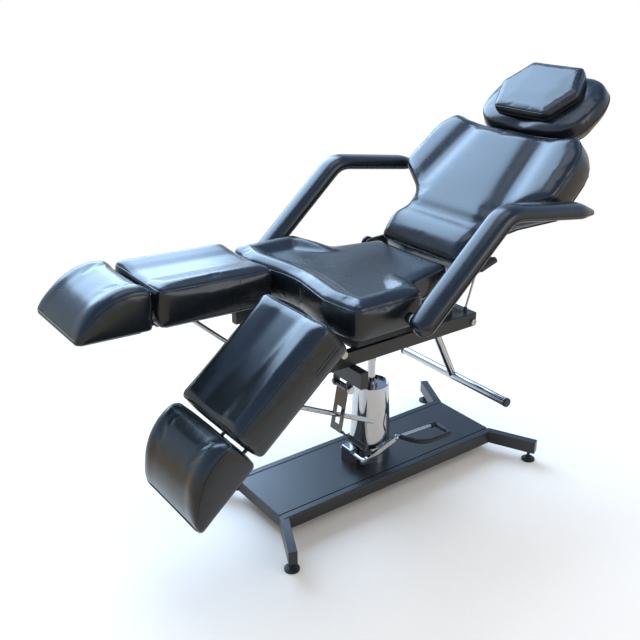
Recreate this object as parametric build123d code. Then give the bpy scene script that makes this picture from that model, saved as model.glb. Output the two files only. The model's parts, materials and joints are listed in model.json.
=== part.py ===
from build123d import *
import math
import os

os.makedirs("parts", exist_ok=True)

# Tattoo chair. Millimetres, +Z up, the sitter faces -Y and the sitter's left is +X.
# Sizes are taken with the lift column on the Y and Z axes; everything is moved along +Y at the end.
# Heights are above the floor.

# Placing
column_y = 47.0

# Base
base_length = 836.0
base_width = 272.0
tube_width = 25.0
rim_height = 40.0
plate_thickness = 4.0
plate_gap = 1.5
rim_edge_radius = 4.0
base_tie_y = 110.0
outrigger_out_x = 134.0
outrigger_out_y = 63.0
outrigger_root_inset = 16.0
foot_out_x = 115.0
foot_out_y = 54.0
foot_pad_radius = 21.5
foot_pad_height = 8.0
foot_pad_dome = 3.0
foot_stud_radius = 5.0
foot_stud_shown = 24.0
foot_stud_in = 22.0
foot_stud_room = 6.0
foot_nut_radius = 9.0
foot_nut_height = 6.0

# Hydraulic pump
cover_bottom_radius = 65.5
cover_top_radius = 55.5
cover_height = 252.0
cover_wall = 1.5
cover_recess = 8.0
pump_radius = 40.0
pump_lid_thickness = 4.0
pump_flange_radius = 60.0
pump_flange_thickness = 8.0
pump_bolt_circle = 50.0
pump_bolt_radius = 4.0
pump_bolt_head_radius = 7.0
pump_bolt_head_height = 5.0
gland_radius = 20.0
gland_height = 10.0
ram_radius = 13.0
ram_lift_down = 120.0
ram_floor_room = 10.0
ram_end_gap = 2.0
running_gap = 0.05
bolt_gap = 0.05
seat_gap = 0.3
edge_reach = 1.0

# Pump pedal
pedal_pivot_y = -82.0
pedal_pivot_up = 35.0
pedal_axle_radius = 7.0
pedal_axle_end = 84.0
pedal_block_half_x = 22.0
pedal_block_depth = 28.0
pedal_block_height = 52.0
pedal_block_radius = 4.0
pedal_bolt_length = 6.0
pedal_arm_x = 76.0
pedal_arm_width = 9.0
pedal_arm_height = 15.0
pedal_hub_radius = 12.0
pedal_ball_y = 45.0
pedal_ball_up = 76.0
pedal_ball_radius = 9.0
pedal_rod_radius = 5.0
pedal_rod_length = 167.0
pedal_rod_fall = 2.6
pedal_loop_radius = 7.5
pedal_loop_out = 72.0
pedal_loop_start = 14.0
pedal_loop_root_x = 32.0
pedal_loop_root_y = 25.0
pedal_loop_bend = 11.0
pedal_loop_shoulder = 52.0
pedal_grip_radius = 8.5
pedal_grip_length = 22.0

# Seat frame
rail_outer_x = 220.0
rail_bottom = 537.0
rail_height = 42.0
rail_front_y = -355.0
rail_rear_y = 208.0
rail_edge_radius = 2.5
leg_hinge_y = -341.0
leg_hinge_z = 626.0
lug_radius = 13.0
hinge_rod_radius = 7.0
hinge_rod_half = 300.0
hinge_cap_radius = 10.0
hinge_cap_length = 5.0
front_bar_y = -247.5
front_bar_height = 48.0
front_bar_reach = 270.0
bearer_front_y = -225.0
bearer_rear_y = 20.0
bearer_half = 200.0
head_tie_y = 62.0
head_plate_half = 86.0
head_plate_thickness = 8.0
head_boss_radius = 28.0
head_boss_height = 34.0
board_thickness = 15.0
board_inset = 10.0
rail_bolt_radius = 6.0
rail_bolt_head_radius = 9.5
rail_bolt_head_length = 7.0
rail_bolt_z = 552.0
rail_bolt_reach = 50.0

# Push bar behind the seat
push_bar_radius = 14.0
push_stem_radius = 13.0
push_bar_half = 237.0
push_bar_y = 352.0
push_bar_z = 245.0
push_cap_length = 8.0
push_cap_over = 1.0

# Seat cushion
seat_bottom = 642.0
seat_seam = 725.0
seat_roll_rise = 17.0
seat_roll_width = 66.0
seat_rear_drop = 6.0
seat_edge_radius = 14.0
seat_corner_radius = 26.0
seat_front_x = 300.0
seat_front_y = -312.0
seat_notch_y = -284.0
seat_notch_x = 34.0
seat_lobe_x = 180.0
seat_corner_y = -298.0
seat_wing_y = -85.0
seat_neck_x = 193.0
seat_neck_y = -18.0
seat_waist_x = 167.0
seat_waist_y = 75.0
seat_rear_x = 150.0
seat_rear_y = 149.0

# Back rest
back_start_y = 157.0
back_start_z = 731.0
back_slope = 39.95
back_pivot_y = 130.0
back_pivot_z = 697.0
back_thickness = 98.0
back_board_thickness = 12.0
back_low_x = 163.0
back_hip_x = 175.0
back_hip_v = 81.0
back_crease_v = 124.0
back_crease_x = 165.0
back_waist_x = 163.0
back_waist_v = 175.0
back_flare_x = 195.0
back_flare_v = 208.0
back_wing_x = 293.0
back_wing_v = 274.0
back_wide_x = 306.0
back_wide_v = 299.0
back_high_x = 297.0
back_high_v = 418.0
back_tip_x = 287.0
back_tip_v = 460.0
back_crown_x = 248.0
back_crown_v = 510.0
back_crown_in_x = 201.0
back_crown_in_v = 499.0
back_top_x = 89.0
back_top_v = 488.0
back_corner_radius = 16.0
back_edge_radius = 16.0
lumbar_rise = 12.0
back_groove_depth = 8.0
back_groove_width = 12.0
back_groove_top_x = 150.0
back_groove_low_x = 184.0
back_frame_x = 134.0
back_tube = 20.0
back_strap_start = 60.0
back_strap_width = 40.0
back_frame_start = 44.0
back_frame_end = 440.0
back_arm_x = 176.0
back_arm_thickness = 8.0
back_arm_hub_radius = 18.0
bracket_thickness = 8.0
bracket_half_width = 22.0
bracket_foot_shift = 18.0
pivot_bolt_radius = 6.0
pivot_bolt_head_radius = 9.0
pivot_bolt_head_length = 6.0

# Head rest
post_radius = 6.0
post_x = 60.0
post_start = 320.0
post_end = 655.0
socket_radius = 10.0
socket_start = 300.0
socket_end = 470.0
head_origin_y = 557.0
head_origin_z = 1100.0
head_slope = 35.3
oval_half_width = 208.0
oval_half_length = 128.0
oval_corner_radius = 108.0
oval_centre = 97.0
oval_top = -56.0
oval_thickness = 63.0
oval_crown = 19.7
oval_draw_low = 20.0
oval_draw_middle = 4.0
oval_draw_high = 3.0
dome_share = 0.8
head_board_inset = 34.0
head_board_thickness = 12.0
head_block_start = 70.0
head_block_length = 40.0
head_block_half = 12.0
head_block_drop = 35.0
pillow_front_x = 102.0
pillow_mid_x = 151.0
pillow_mid_s = 108.0
pillow_rear_x = 99.0
pillow_rear_s = 209.0
pillow_thickness = 36.0
pillow_corner_radius = 18.0
pillow_edge_radius = 14.0

# Legs
leg_x = 184.0
calf_width = 280.0
calf_rear_y = -322.0
calf_front_y = -667.0
calf_bottom = 642.0
calf_thickness = 100.0
calf_roll_crest = 26.0
calf_roll_width = 62.0
calf_roll_rise = 13.0
calf_valley_rise = 3.0
calf_roll_fall = 4.0
calf_side_bulge = 4.0
calf_end_radius = 14.0
leg_board_thickness = 9.0
leg_board_inset = 26.0
leg_board_rear_y = -358.0
leg_tube = 16.0
leg_tube_x = 53.0
sleeve_radius = 12.0
sleeve_length = 28.0
calf_tie_y = -570.0
strut_pin_y = -540.0
strut_pin_z = 620.0
strut_pin_radius = 4.0
strut_pin_head_radius = 6.0
strut_ear_thickness = 4.0
strut_ear_radius = 12.0
foot_rod_radius = 5.0
foot_rod_start = -520.0
foot_rod_end = -862.0
foot_tie_front = -830.0
foot_tie_rear = -720.0
foot_cushion_rear_y = -684.0
foot_cushion_length = 213.0
foot_crown = 20.0
foot_crown_middle = 16.0
foot_rear_drop_share = 0.04
foot_top_shares = ((0.12, -0.05), (0.3, -0.06), (0.49, 0.06), (0.68, 0.28), (0.84, 0.55))
foot_nose_shares = (0.97, 0.9)
foot_board_length = 160.0

# Tilt of the two leg rests as the chair stands, downwards
left_leg_tilt = 40.0
right_leg_tilt = -2.3

# Leg struts and their release levers
strut_radius = 7.0
strut_length = 390.0
strut_eye_radius = 9.0
strut_hole_radius = 2.0
strut_hole_first = 90.0
strut_hole_step = 40.0
strut_hole_count = 6
guide_y = -267.0
guide_z = 381.0
lever_axle_y = -252.0
lever_axle_z = 465.0
lever_axle_radius = 5.0
lever_sleeve_radius = 9.0
lever_sleeve_half = 22.0
lever_hanger_thickness = 5.0
lever_hanger_offset = 29.0
lever_hanger_radius = 10.0
lever_knob_radius = 11.0
lever_knob_length = 8.0
strap_half_width = 24.0
strap_thickness = 3.0
strap_length = 132.0
strap_lean = 10.2
strap_lip = 12.0
window_half_width = 10.0
window_height = 52.0
lever_rod_radius = 3.0
lever_rod_end = 240.0
lever_grip_radius = 8.0
lever_grip_end = 310.0
lever_grip_nose = 4.0

# Arm rests
arm_x = 366.0
arm_half_width = 38.0
arm_rise = 28.0
arm_drop = 13.0
arm_board_thickness = 10.0
arm_low_y = -157.0
arm_low_z = 661.0
arm_bend_y = 131.0
arm_bend_z = 918.0
arm_top_y = 424.0
arm_top_z = 877.0
arm_tip_y = 492.0
arm_tip_z = 865.0
arm_tip_share = 0.3
arm_taper_start = 408.0
arm_tip_half_width = 9.0
arm_end_radius = 24.0
arm_bend_radius = 60.0
arm_edge_radius = 15.0
arm_pivot_y = -125.0
arm_pivot_z = 672.0
arm_pin_radius = 8.0
arm_boss_radius = 14.0
arm_sleeve_radius = 12.0
arm_sleeve_length = 50.0
arm_bracket_width = 30.0
arm_bracket_thickness = 8.0
arm_bracket_x = 312.0
arm_bar_y = -75.0
arm_bar_height = 16.0

# Recline release
release_pivot_y = 196.0
release_pivot_z = 688.0
release_pin_radius = 4.0
release_arm_thickness = 6.0
release_arm_height = 12.0
release_grip_radius = 10.0
release_grip_start = 38.0
release_grip_length = 64.0
release_slope = 17.0
link_radius = 3.0
link_x = 191.0
link_low_y = 189.0
link_high_y = 226.0
link_high_z = 696.0
boot_radius = 5.0
boot_height = 12.0
link_depth = 8.0

# Derived sizes
base_top = foot_pad_height + foot_stud_shown + rim_height
base_under = base_top - rim_height
foot_x = base_width / 2 + foot_out_x
foot_y = base_length / 2 + foot_out_y
rail_top = rail_bottom + rail_height
rail_inner_x = rail_outer_x - tube_width
board_bottom = seat_bottom - board_thickness
head_under = rail_bottom - head_plate_thickness
SIDES = (("left", 1), ("right", -1))


def block(x_range, y_range, z_range):
    """A box given by its lowest and highest coordinates."""
    size = [high - low for low, high in (x_range, y_range, z_range)]
    middle = [(low + high) / 2 for low, high in (x_range, y_range, z_range)]
    return Pos(*middle) * Box(*size)


def rod(start, end, radius):
    """A round bar from one point to another."""
    line = Vector(*end) - Vector(*start)
    plane = Plane(origin=start, z_dir=line)
    return plane * Cylinder(radius, line.length, align=(Align.CENTER, Align.CENTER, Align.MIN))


def cross_rod(x_range, y, z, radius):
    """A round bar along X."""
    return rod((x_range[0], y, z), (x_range[1], y, z), radius)


def side_plate(points, x_range):
    """A plate cut from an outline of (y, z) points, standing along X."""
    outline = make_face(Polyline(*[(0, y, z) for y, z in points], close=True))
    return Pos(x_range[0], 0, 0) * extrude(outline, amount=x_range[1] - x_range[0], dir=(1, 0, 0))


def both_sides(shape):
    """The shape and its mirror image across the middle plane."""
    return [shape, mirror(shape, about=Plane.YZ)]


def on_side(shape, side):
    """The shape on the sitter's left as built, or mirrored to the sitter's right."""
    return shape if side > 0 else mirror(shape, about=Plane.YZ)


def mirrored_outline(half):
    """A closed outline from the points of its half with positive x, first to last."""
    far = [(-x, y) for x, y in reversed(half) if x > 0]
    return [*half, *far]


def prism(points, z_range, corner_radius=0):
    """A flat outline in the ground plane raised between two heights, its upright corners rounded."""
    face = make_face(Polyline(*points, close=True))
    if corner_radius > 0:
        face = fillet(face.vertices(), corner_radius)
    return Pos(0, 0, z_range[0]) * extrude(face, amount=z_range[1] - z_range[0])


def top_edges(shape, height, reach):
    """The edges lying within reach of a height."""
    return [edge for edge in shape.edges() if abs(edge.center().Z - height) < reach]


def strip_along(points, width, z_range):
    """A straight-sided strip centred on the line between two points of the ground plane."""
    start, end = Vector(*points[0]), Vector(*points[1])
    line = end - start
    plane = Plane(origin=(start.X, start.Y, z_range[0]), x_dir=line, z_dir=(0, 0, 1))
    align = (Align.MIN, Align.CENTER, Align.MIN)
    return plane * Box(line.length, width, z_range[1] - z_range[0], align=align)


def back_plane():
    """The front face of the back rest: x across, y up its slope, z out of it."""
    angle = math.radians(back_slope)
    normal = (0, -math.sin(angle), math.cos(angle))
    return Plane(origin=(0, back_start_y, back_start_z), x_dir=(1, 0, 0), z_dir=normal)


def head_plane():
    """The top face of the head pillow: x across, y up its slope, z out of it."""
    angle = math.radians(head_slope)
    normal = (0, -math.sin(angle), math.cos(angle))
    return Plane(origin=(0, head_origin_y, head_origin_z), x_dir=(1, 0, 0), z_dir=normal)


# Base


def base_frame():
    """Welded rim of box tube with two ties under the plate."""
    half_x, half_y = base_width / 2, base_length / 2
    long_tube = block((half_x - tube_width, half_x), (-half_y, half_y), (base_under, base_top))
    long_tube = fillet(long_tube.edges().filter_by(Axis.Y).group_by(Axis.Z)[-1], rim_edge_radius)
    inner = half_x - tube_width
    low_top = base_top - plate_thickness
    end_tube = block((-inner, inner), (half_y - tube_width, half_y), (base_under, low_top))
    tie = block((-inner, inner), (base_tie_y, base_tie_y + tube_width), (base_under, low_top))
    frame = long_tube + mirror(long_tube, about=Plane.YZ)
    for piece in (end_tube, tie):
        frame = frame + piece + mirror(piece, about=Plane.XZ)
    return Compound(children=[frame, *outriggers()])


def base_plate():
    """Sheet steel floor of the base, its top level with the long tubes."""
    half_x = base_width / 2 - tube_width - plate_gap
    half_y = base_length / 2
    plate = block((-half_x, half_x), (-half_y, half_y), (base_top - plate_thickness, base_top))
    for x, y in pump_bolt_points():
        plate -= rod((x, y, base_under), (x, y, base_top + plate_thickness), pump_bolt_radius + bolt_gap)
    return plate


def outriggers():
    """Four box tube arms welded to the corners of the rim."""
    root = (base_width / 2 - outrigger_root_inset, base_length / 2 - outrigger_root_inset / 2)
    end = (base_width / 2 + outrigger_out_x, base_length / 2 + outrigger_out_y)
    arm = strip_along((root, end), tube_width, (base_under, base_top))
    hole_top = base_under + foot_stud_in + foot_stud_room
    arm -= rod((foot_x, foot_y, base_under), (foot_x, foot_y, hole_top), foot_stud_radius + running_gap)
    inner = (base_width / 2 - outrigger_out_x, base_width / 2)
    arm -= block(inner, (0, base_length / 2), (0, base_top + rim_height))
    four = []
    for shape in both_sides(arm):
        four += [shape, mirror(shape, about=Plane.XZ)]
    return four


def levelling_foot(x_sign, y_sign):
    """Pad, lock nut and threaded stud of one levelling foot."""
    x, y = x_sign * foot_x, y_sign * foot_y
    straight = foot_pad_height - foot_pad_dome
    pad = Pos(x, y, straight / 2) * Cylinder(foot_pad_radius, straight)
    dome = Cone(foot_pad_radius, foot_nut_radius, foot_pad_dome)
    pad += Pos(x, y, straight + foot_pad_dome / 2) * dome
    nut_top = foot_pad_height + foot_nut_height
    pad += rod((x, y, straight), (x, y, nut_top), foot_nut_radius)
    return pad + rod((x, y, straight), (x, y, base_under + foot_stud_in), foot_stud_radius)


def pump_bolt_points():
    """Centres of the four bolts that hold the pump to the base."""
    offset = pump_bolt_circle / math.sqrt(2)
    return [(x * offset, y * offset) for x in (-1, 1) for y in (-1, 1)]


def cover_radius(height):
    """Outer radius of the pump cover at a height above the base plate."""
    return cover_bottom_radius - (cover_bottom_radius - cover_top_radius) * height / cover_height


def pump_cover():
    """Polished tapered cover around the pump, open at its top."""
    centre = base_top + cover_height / 2
    outside = Cone(cover_bottom_radius, cover_top_radius, cover_height)
    inside = Cone(cover_bottom_radius - cover_wall, cover_top_radius - cover_wall, cover_height)
    cover = Pos(0, 0, centre) * (outside - inside)
    return fillet(cover.edges().group_by(Axis.Z)[-1], cover_wall / 3)


def pump_body():
    """Oil tank of the pump with its bolting flange, lid and ram gland."""
    lid_top = base_top + cover_height - cover_recess
    tank = rod((0, 0, base_top), (0, 0, lid_top), pump_radius)
    tank += rod((0, 0, base_top), (0, 0, base_top + pump_flange_thickness), pump_flange_radius)
    lid_radius = cover_radius(cover_height - cover_recess) - cover_wall - seat_gap
    tank += rod((0, 0, lid_top - pump_lid_thickness), (0, 0, lid_top), lid_radius)
    tank += rod((0, 0, lid_top), (0, 0, lid_top + gland_height), gland_radius)
    ram_floor = base_top + ram_floor_room
    tank -= rod((0, 0, ram_floor), (0, 0, base_top + cover_height * 2), ram_radius + running_gap)
    for x, y in pump_bolt_points():
        tank -= rod((x, y, 0), (x, y, base_top + pump_flange_thickness), pump_bolt_radius + bolt_gap)
        seat = base_top + pump_flange_thickness
        clear = pump_bolt_head_radius + seat_gap
        tank -= rod((x, y, seat), (x, y, seat + pump_bolt_head_height * 2), clear)
    return Compound(children=[tank, pedal_bracket()])


def pump_bolts():
    """Four hexagon bolts through the pump flange and the base plate."""
    bolts = []
    seat = base_top + pump_flange_thickness
    for x, y in pump_bolt_points():
        shank = rod((x, y, base_top - plate_thickness), (x, y, seat), pump_bolt_radius)
        head = extrude(RegularPolygon(pump_bolt_head_radius, 6), amount=pump_bolt_head_height)
        bolts.append(shank + Pos(x, y, seat) * head)
    return Compound(children=bolts)


def piston_rod():
    """Chromed ram that lifts the chair and lets it turn on its top."""
    bottom = base_top + ram_floor_room + ram_end_gap + ram_lift_down
    return rod((0, 0, bottom), (0, 0, head_under), ram_radius)


# Pump pedal


def pedal_bracket():
    """Block in front of the cover that carries the pedal axle."""
    rear = -cover_bottom_radius - plate_gap
    z_range = (base_top, base_top + pedal_block_height)
    shape = block((-pedal_block_half_x, pedal_block_half_x), (rear - pedal_block_depth, rear), z_range)
    shape = fillet(shape.edges().filter_by(Axis.X).group_by(Axis.Z)[-1], pedal_block_radius)
    z = base_top + pedal_pivot_up
    hole = cross_rod((-pedal_axle_end, pedal_axle_end), pedal_pivot_y, z, pedal_axle_radius + running_gap)
    return shape - hole


def pedal_axle():
    """Axle of the pedal, running in the block and welded into the pedal arm."""
    z = base_top + pedal_pivot_up
    shape = cross_rod((-pedal_block_half_x, pedal_axle_end), pedal_pivot_y, z, pedal_axle_radius)
    head = (-pedal_block_half_x - pedal_bolt_length, -pedal_block_half_x - seat_gap)
    return shape + cross_rod(head, pedal_pivot_y, z, pedal_hub_radius) + cross_rod(
        (head[1], -pedal_block_half_x), pedal_pivot_y, z, pedal_axle_radius
    )


def pedal_arm():
    """Flat arm from the axle to the ball, with a round hub."""
    z = base_top + pedal_pivot_up
    ball_z = base_top + pedal_ball_up
    angle = math.atan2(ball_z - z, pedal_ball_y - pedal_pivot_y)
    dy, dz = pedal_arm_height / 2 * math.sin(angle), pedal_arm_height / 2 * math.cos(angle)
    near, far = (pedal_pivot_y, z), (pedal_ball_y, ball_z)
    outline = [(near[0] + dy, near[1] - dz), (far[0] + dy, far[1] - dz)]
    outline += [(far[0] - dy, far[1] + dz), (near[0] - dy, near[1] + dz)]
    x_range = (pedal_arm_x - pedal_arm_width / 2, pedal_arm_x + pedal_arm_width / 2)
    arm = side_plate(outline, x_range) + cross_rod(x_range, *near, pedal_hub_radius)
    ball = Pos(pedal_arm_x, pedal_ball_y, ball_z) * Sphere(pedal_ball_radius + seat_gap)
    return arm - ball + pedal_axle()


def pedal_plane():
    """Plane of the pedal loop, starting at the ball: x outward, y along the rod."""
    z = base_top + pedal_ball_up
    fall = math.radians(pedal_rod_fall)
    normal = (0, math.sin(fall), math.cos(fall))
    return Plane(origin=(pedal_arm_x, pedal_ball_y, z), x_dir=(1, 0, 0), z_dir=normal)


def pedal_rod():
    """Chromed ball and straight rod of the pedal."""
    along = Rot(-90, 0, 0) * Cylinder(
        pedal_rod_radius, pedal_rod_length, align=(Align.CENTER, Align.CENTER, Align.MIN)
    )
    return pedal_plane() * (Sphere(pedal_ball_radius) + along)


def pedal_loop():
    """Rubber covered loop beside the rod that the foot presses."""
    out, end = pedal_loop_out, pedal_rod_length
    points = [(0, pedal_loop_start), (pedal_loop_root_x, pedal_loop_root_y)]
    points += [(out, pedal_loop_shoulder), (out, end), (0, end)]
    path = FilletPolyline(*points, radius=pedal_loop_bend)
    section = Plane(origin=path @ 0, z_dir=path % 0) * Circle(pedal_loop_radius)
    loop = sweep(section, path=path, transition=Transition.ROUND)
    grip = Rot(-90, 0, 0) * Cylinder(pedal_grip_radius, pedal_grip_length)
    loop += Pos(0, end, 0) * grip
    bore = Rot(-90, 0, 0) * Cylinder(
        pedal_rod_radius, pedal_rod_length, align=(Align.CENTER, Align.CENTER, Align.MIN)
    )
    return pedal_plane() * (loop - bore - Sphere(pedal_ball_radius))


# Seat frame


def seat_rails():
    """Two box tube side rails with upturned lugs for the leg hinge."""
    rail = block((rail_inner_x, rail_outer_x), (rail_front_y, rail_rear_y), (rail_bottom, rail_top))
    rail = fillet(rail.edges().filter_by(Axis.Y), rail_edge_radius)
    y_range = (leg_hinge_y - lug_radius, leg_hinge_y + lug_radius)
    rail += block((rail_inner_x, rail_outer_x), y_range, (rail_top - rail_edge_radius, leg_hinge_z))
    x_range = (rail_inner_x, rail_outer_x)
    rail += cross_rod(x_range, leg_hinge_y, leg_hinge_z, lug_radius)
    rail -= cross_rod((0, arm_x), leg_hinge_y, leg_hinge_z, hinge_rod_radius + bolt_gap)
    rail -= cross_rod((0, arm_x), rail_rear_bolt_y(), rail_bolt_z, rail_bolt_radius + bolt_gap)
    return Compound(children=both_sides(rail))


def rail_rear_bolt_y():
    """Distance of the rear frame bolts along the rails."""
    return rail_rear_y - tube_width / 2


def front_crossbar():
    """Box bar under the rails that carries the leg release levers."""
    y_range = (front_bar_y - tube_width / 2, front_bar_y + tube_width / 2)
    z_range = (rail_bottom - front_bar_height, rail_bottom)
    shape = block((-front_bar_reach, front_bar_reach), y_range, z_range)
    shape = fillet(shape.edges().filter_by(Axis.X), rail_edge_radius)
    return Compound(children=[shape, *lever_hangers()])


def rear_crossbar():
    """Box bar between the rear ends of the rails."""
    y_range = (rail_rear_y - tube_width, rail_rear_y)
    bar = block((-rail_inner_x, rail_inner_x), y_range, (rail_bottom, rail_top))
    for x in (-1, 1):
        reach = (x * (rail_inner_x - rail_bolt_reach), x * rail_outer_x)
        bar -= cross_rod(sorted(reach), rail_rear_bolt_y(), rail_bolt_z, rail_bolt_radius + bolt_gap)
    return bar - link_rod_shape(link_radius + running_gap)


def frame_ties():
    """Cross tubes over the lift head and the bearers under the seat board."""
    tie_y_range = (head_tie_y - tube_width, head_tie_y)
    tie = block((-rail_inner_x, rail_inner_x), tie_y_range, (rail_bottom, rail_top))
    pieces = [tie, mirror(tie, about=Plane.XZ), rear_crossbar()]
    levels = {bearer_front_y: board_bottom, bearer_rear_y: board_bottom}
    levels[arm_bar_y] = board_bottom - arm_bar_height
    for y, level in levels.items():
        y_range = (y - tube_width / 2, y + tube_width / 2)
        pieces.append(block((-bearer_half, bearer_half), y_range, (rail_top, level)))
    return Compound(children=pieces)


def swivel_head():
    """Plate and boss that turn on the top of the ram."""
    plate = block(
        (-head_plate_half, head_plate_half), (-head_plate_half, head_plate_half), (head_under, rail_bottom)
    )
    boss_low = head_under - head_boss_height
    plate += rod((0, 0, boss_low), (0, 0, head_under), head_boss_radius)
    return plate - rod((0, 0, boss_low), (0, 0, head_under), ram_radius + running_gap)


def push_bar():
    """Chromed T bar for moving the chair, standing out from the rear crossbar."""
    top = (0, rail_rear_bolt_y(), rail_bottom + rail_height / 2)
    stem = rod(top, (0, push_bar_y, push_bar_z), push_stem_radius)
    stem -= block((-arm_x, arm_x), (0, arm_x), (rail_bottom, rail_top * 2))
    return stem + cross_rod((-push_bar_half, push_bar_half), push_bar_y, push_bar_z, push_bar_radius)


def push_bar_caps():
    """Plastic end caps of the push bar."""
    x_range = (push_bar_half, push_bar_half + push_cap_length)
    cap = cross_rod(x_range, push_bar_y, push_bar_z, push_bar_radius + push_cap_over)
    cap = fillet(cap.edges().group_by(Axis.X)[-1], push_cap_over * 2)
    return Compound(children=both_sides(cap))


def rail_bolts():
    """Two chromed bolts through the rear ends of the rails into the rear crossbar."""
    y = rail_rear_bolt_y()
    bolt = cross_rod((rail_inner_x - rail_bolt_reach, rail_outer_x), y, rail_bolt_z, rail_bolt_radius)
    head_x = (rail_outer_x, rail_outer_x + rail_bolt_head_length)
    head = cross_rod(head_x, y, rail_bolt_z, rail_bolt_head_radius)
    head = fillet(head.edges().group_by(Axis.X)[-1], rail_bolt_head_length / 3)
    return Compound(children=both_sides(bolt + head))


def leg_hinge_rod():
    """Long hinge rod through the rail lugs, with its two end caps."""
    shape = cross_rod((-hinge_rod_half, hinge_rod_half), leg_hinge_y, leg_hinge_z, hinge_rod_radius)
    cap_x_range = (hinge_rod_half, hinge_rod_half + hinge_cap_length)
    for cap in both_sides(cross_rod(cap_x_range, leg_hinge_y, leg_hinge_z, hinge_cap_radius)):
        shape += cap
    return shape


def back_brackets():
    """Upright plates inside the rails that carry the back pivot; the left one reaches to the release."""
    x_range = (rail_inner_x - bracket_thickness, rail_inner_x)
    low_y = back_pivot_y - bracket_foot_shift
    outline = [(low_y - bracket_half_width, rail_bottom), (low_y + bracket_half_width, rail_bottom)]
    outline += [(low_y + bracket_half_width, rail_top), (back_pivot_y + bracket_half_width, back_pivot_z)]
    outline += [(back_pivot_y - bracket_half_width, back_pivot_z), (low_y - bracket_half_width, rail_top)]
    plate = side_plate(outline, x_range)
    plate += cross_rod(x_range, back_pivot_y, back_pivot_z, bracket_half_width)
    holes = cross_rod((0, arm_x), back_pivot_y, back_pivot_z, pivot_bolt_radius + bolt_gap)
    right = mirror(plate - holes, about=Plane.YZ)
    reach = [(back_pivot_y, back_pivot_z - bracket_half_width)]
    reach += [(back_pivot_y, back_pivot_z + bracket_half_width / 2)]
    reach += [(release_pivot_y, release_pivot_z + bracket_half_width / 2)]
    reach += [(release_pivot_y, release_pivot_z - bracket_half_width / 2)]
    left = plate + side_plate(reach, x_range)
    left += cross_rod(x_range, release_pivot_y, release_pivot_z, bracket_half_width / 2)
    left -= holes + cross_rod((0, arm_x), release_pivot_y, release_pivot_z, release_pin_radius + bolt_gap)
    return Compound(children=[left, right])


def back_pivot_bolts():
    """Pivot bolts fixed in the brackets on which the back arms turn."""
    x_range = (back_arm_x - pivot_bolt_head_length, rail_inner_x)
    bolt = cross_rod(x_range, back_pivot_y, back_pivot_z, pivot_bolt_radius)
    outer = (rail_inner_x, rail_inner_x + pivot_bolt_head_length)
    bolt += cross_rod(outer, back_pivot_y, back_pivot_z, pivot_bolt_head_radius)
    inner = (back_arm_x - pivot_bolt_head_length, back_arm_x - seat_gap)
    bolt += cross_rod(inner, back_pivot_y, back_pivot_z, pivot_bolt_head_radius)
    return Compound(children=[*both_sides(bolt), release_pin()])


def seat_outline():
    """Half outline of the seat seen from above."""
    half = [(0, seat_notch_y), (seat_notch_x, seat_notch_y), (seat_lobe_x, seat_front_y)]
    half += [(seat_front_x, seat_corner_y), (seat_front_x, seat_wing_y), (seat_neck_x, seat_neck_y)]
    half += [(seat_waist_x, seat_waist_y), (seat_rear_x, seat_rear_y)]
    return mirrored_outline(half)


def seat_face(inset=0):
    """Rounded seat outline, drawn in by an inset."""
    face = make_face(Polyline(*seat_outline(), close=True))
    if inset > 0:
        face = offset(face, -inset, kind=Kind.INTERSECTION)
    return face


def seat_board():
    """Plywood board under the seat cushion."""
    face = seat_face(board_inset)
    return Pos(0, 0, board_bottom) * extrude(face, amount=board_thickness)


def seat_cushion():
    """Seat with a raised roll along its front and sides and a lower middle and rear."""
    face = seat_face()
    face = fillet(face.vertices().filter_by(lambda v: abs(v.X) > seat_notch_x), seat_corner_radius)
    top = seat_seam + seat_roll_rise
    body = Pos(0, 0, seat_bottom) * extrude(face, amount=top - seat_bottom)
    body = fillet(top_edges(body, top, edge_reach), seat_edge_radius)
    side = seat_front_x - seat_roll_width
    front = seat_front_y + seat_roll_width
    rear = seat_rear_y * 2
    points = [(-side, front), (side, front), (side, seat_wing_y), (seat_front_x * 2, seat_neck_y)]
    points += [(seat_front_x * 2, rear), (-seat_front_x * 2, rear), (-seat_front_x * 2, seat_neck_y)]
    points += [(-side, seat_wing_y)]
    dish = prism(points, (seat_seam - seat_rear_drop, top * 2), seat_edge_radius)
    body -= dish
    reach = seat_edge_radius / 2
    rim = [edge for edge in top_edges(body, top, edge_reach) if abs(edge.center().X) < side + reach]
    inner = [edge for edge in rim if edge.center().Y > front - reach]
    return fillet(inner, reach)


# Back rest


def back_outline():
    """Half outline of the back rest in its own plane."""
    half = [(0, 0), (back_low_x, 0), (back_hip_x, back_hip_v), (back_crease_x, back_crease_v)]
    half += [(back_waist_x, back_waist_v), (back_flare_x, back_flare_v), (back_wing_x, back_wing_v)]
    half += [(back_wide_x, back_wide_v), (back_high_x, back_high_v), (back_tip_x, back_tip_v)]
    half += [(back_crown_x, back_crown_v), (back_crown_in_x, back_crown_in_v), (back_top_x, back_top_v)]
    half += [(0, back_top_v - seat_gap)]
    return mirrored_outline(half)


def back_cushion():
    """Back cushion with a lumbar roll, side bolsters and a lower middle panel."""
    face = make_face(Polyline(*back_outline(), close=True))
    side_corners = face.vertices().filter_by(lambda v: abs(v.X) > back_low_x - edge_reach)
    face = fillet(side_corners, back_corner_radius / 2)
    slab = Pos(0, 0, -back_thickness) * extrude(face, amount=back_thickness)
    body = fillet(top_edges(slab, 0, seat_gap), back_edge_radius) + lumbar_roll()
    crease = (back_crease_v, back_crease_v + back_groove_width)
    body -= block((-back_wide_x, back_wide_x), crease, (-back_groove_depth, lumbar_rise))
    for side in (-1, 1):
        low = (side * back_groove_low_x, back_flare_v)
        high = (side * back_groove_top_x, back_top_v)
        body -= strip_along((low, high), back_groove_width, (-back_groove_depth, lumbar_rise))
    return back_plane() * body


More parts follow.
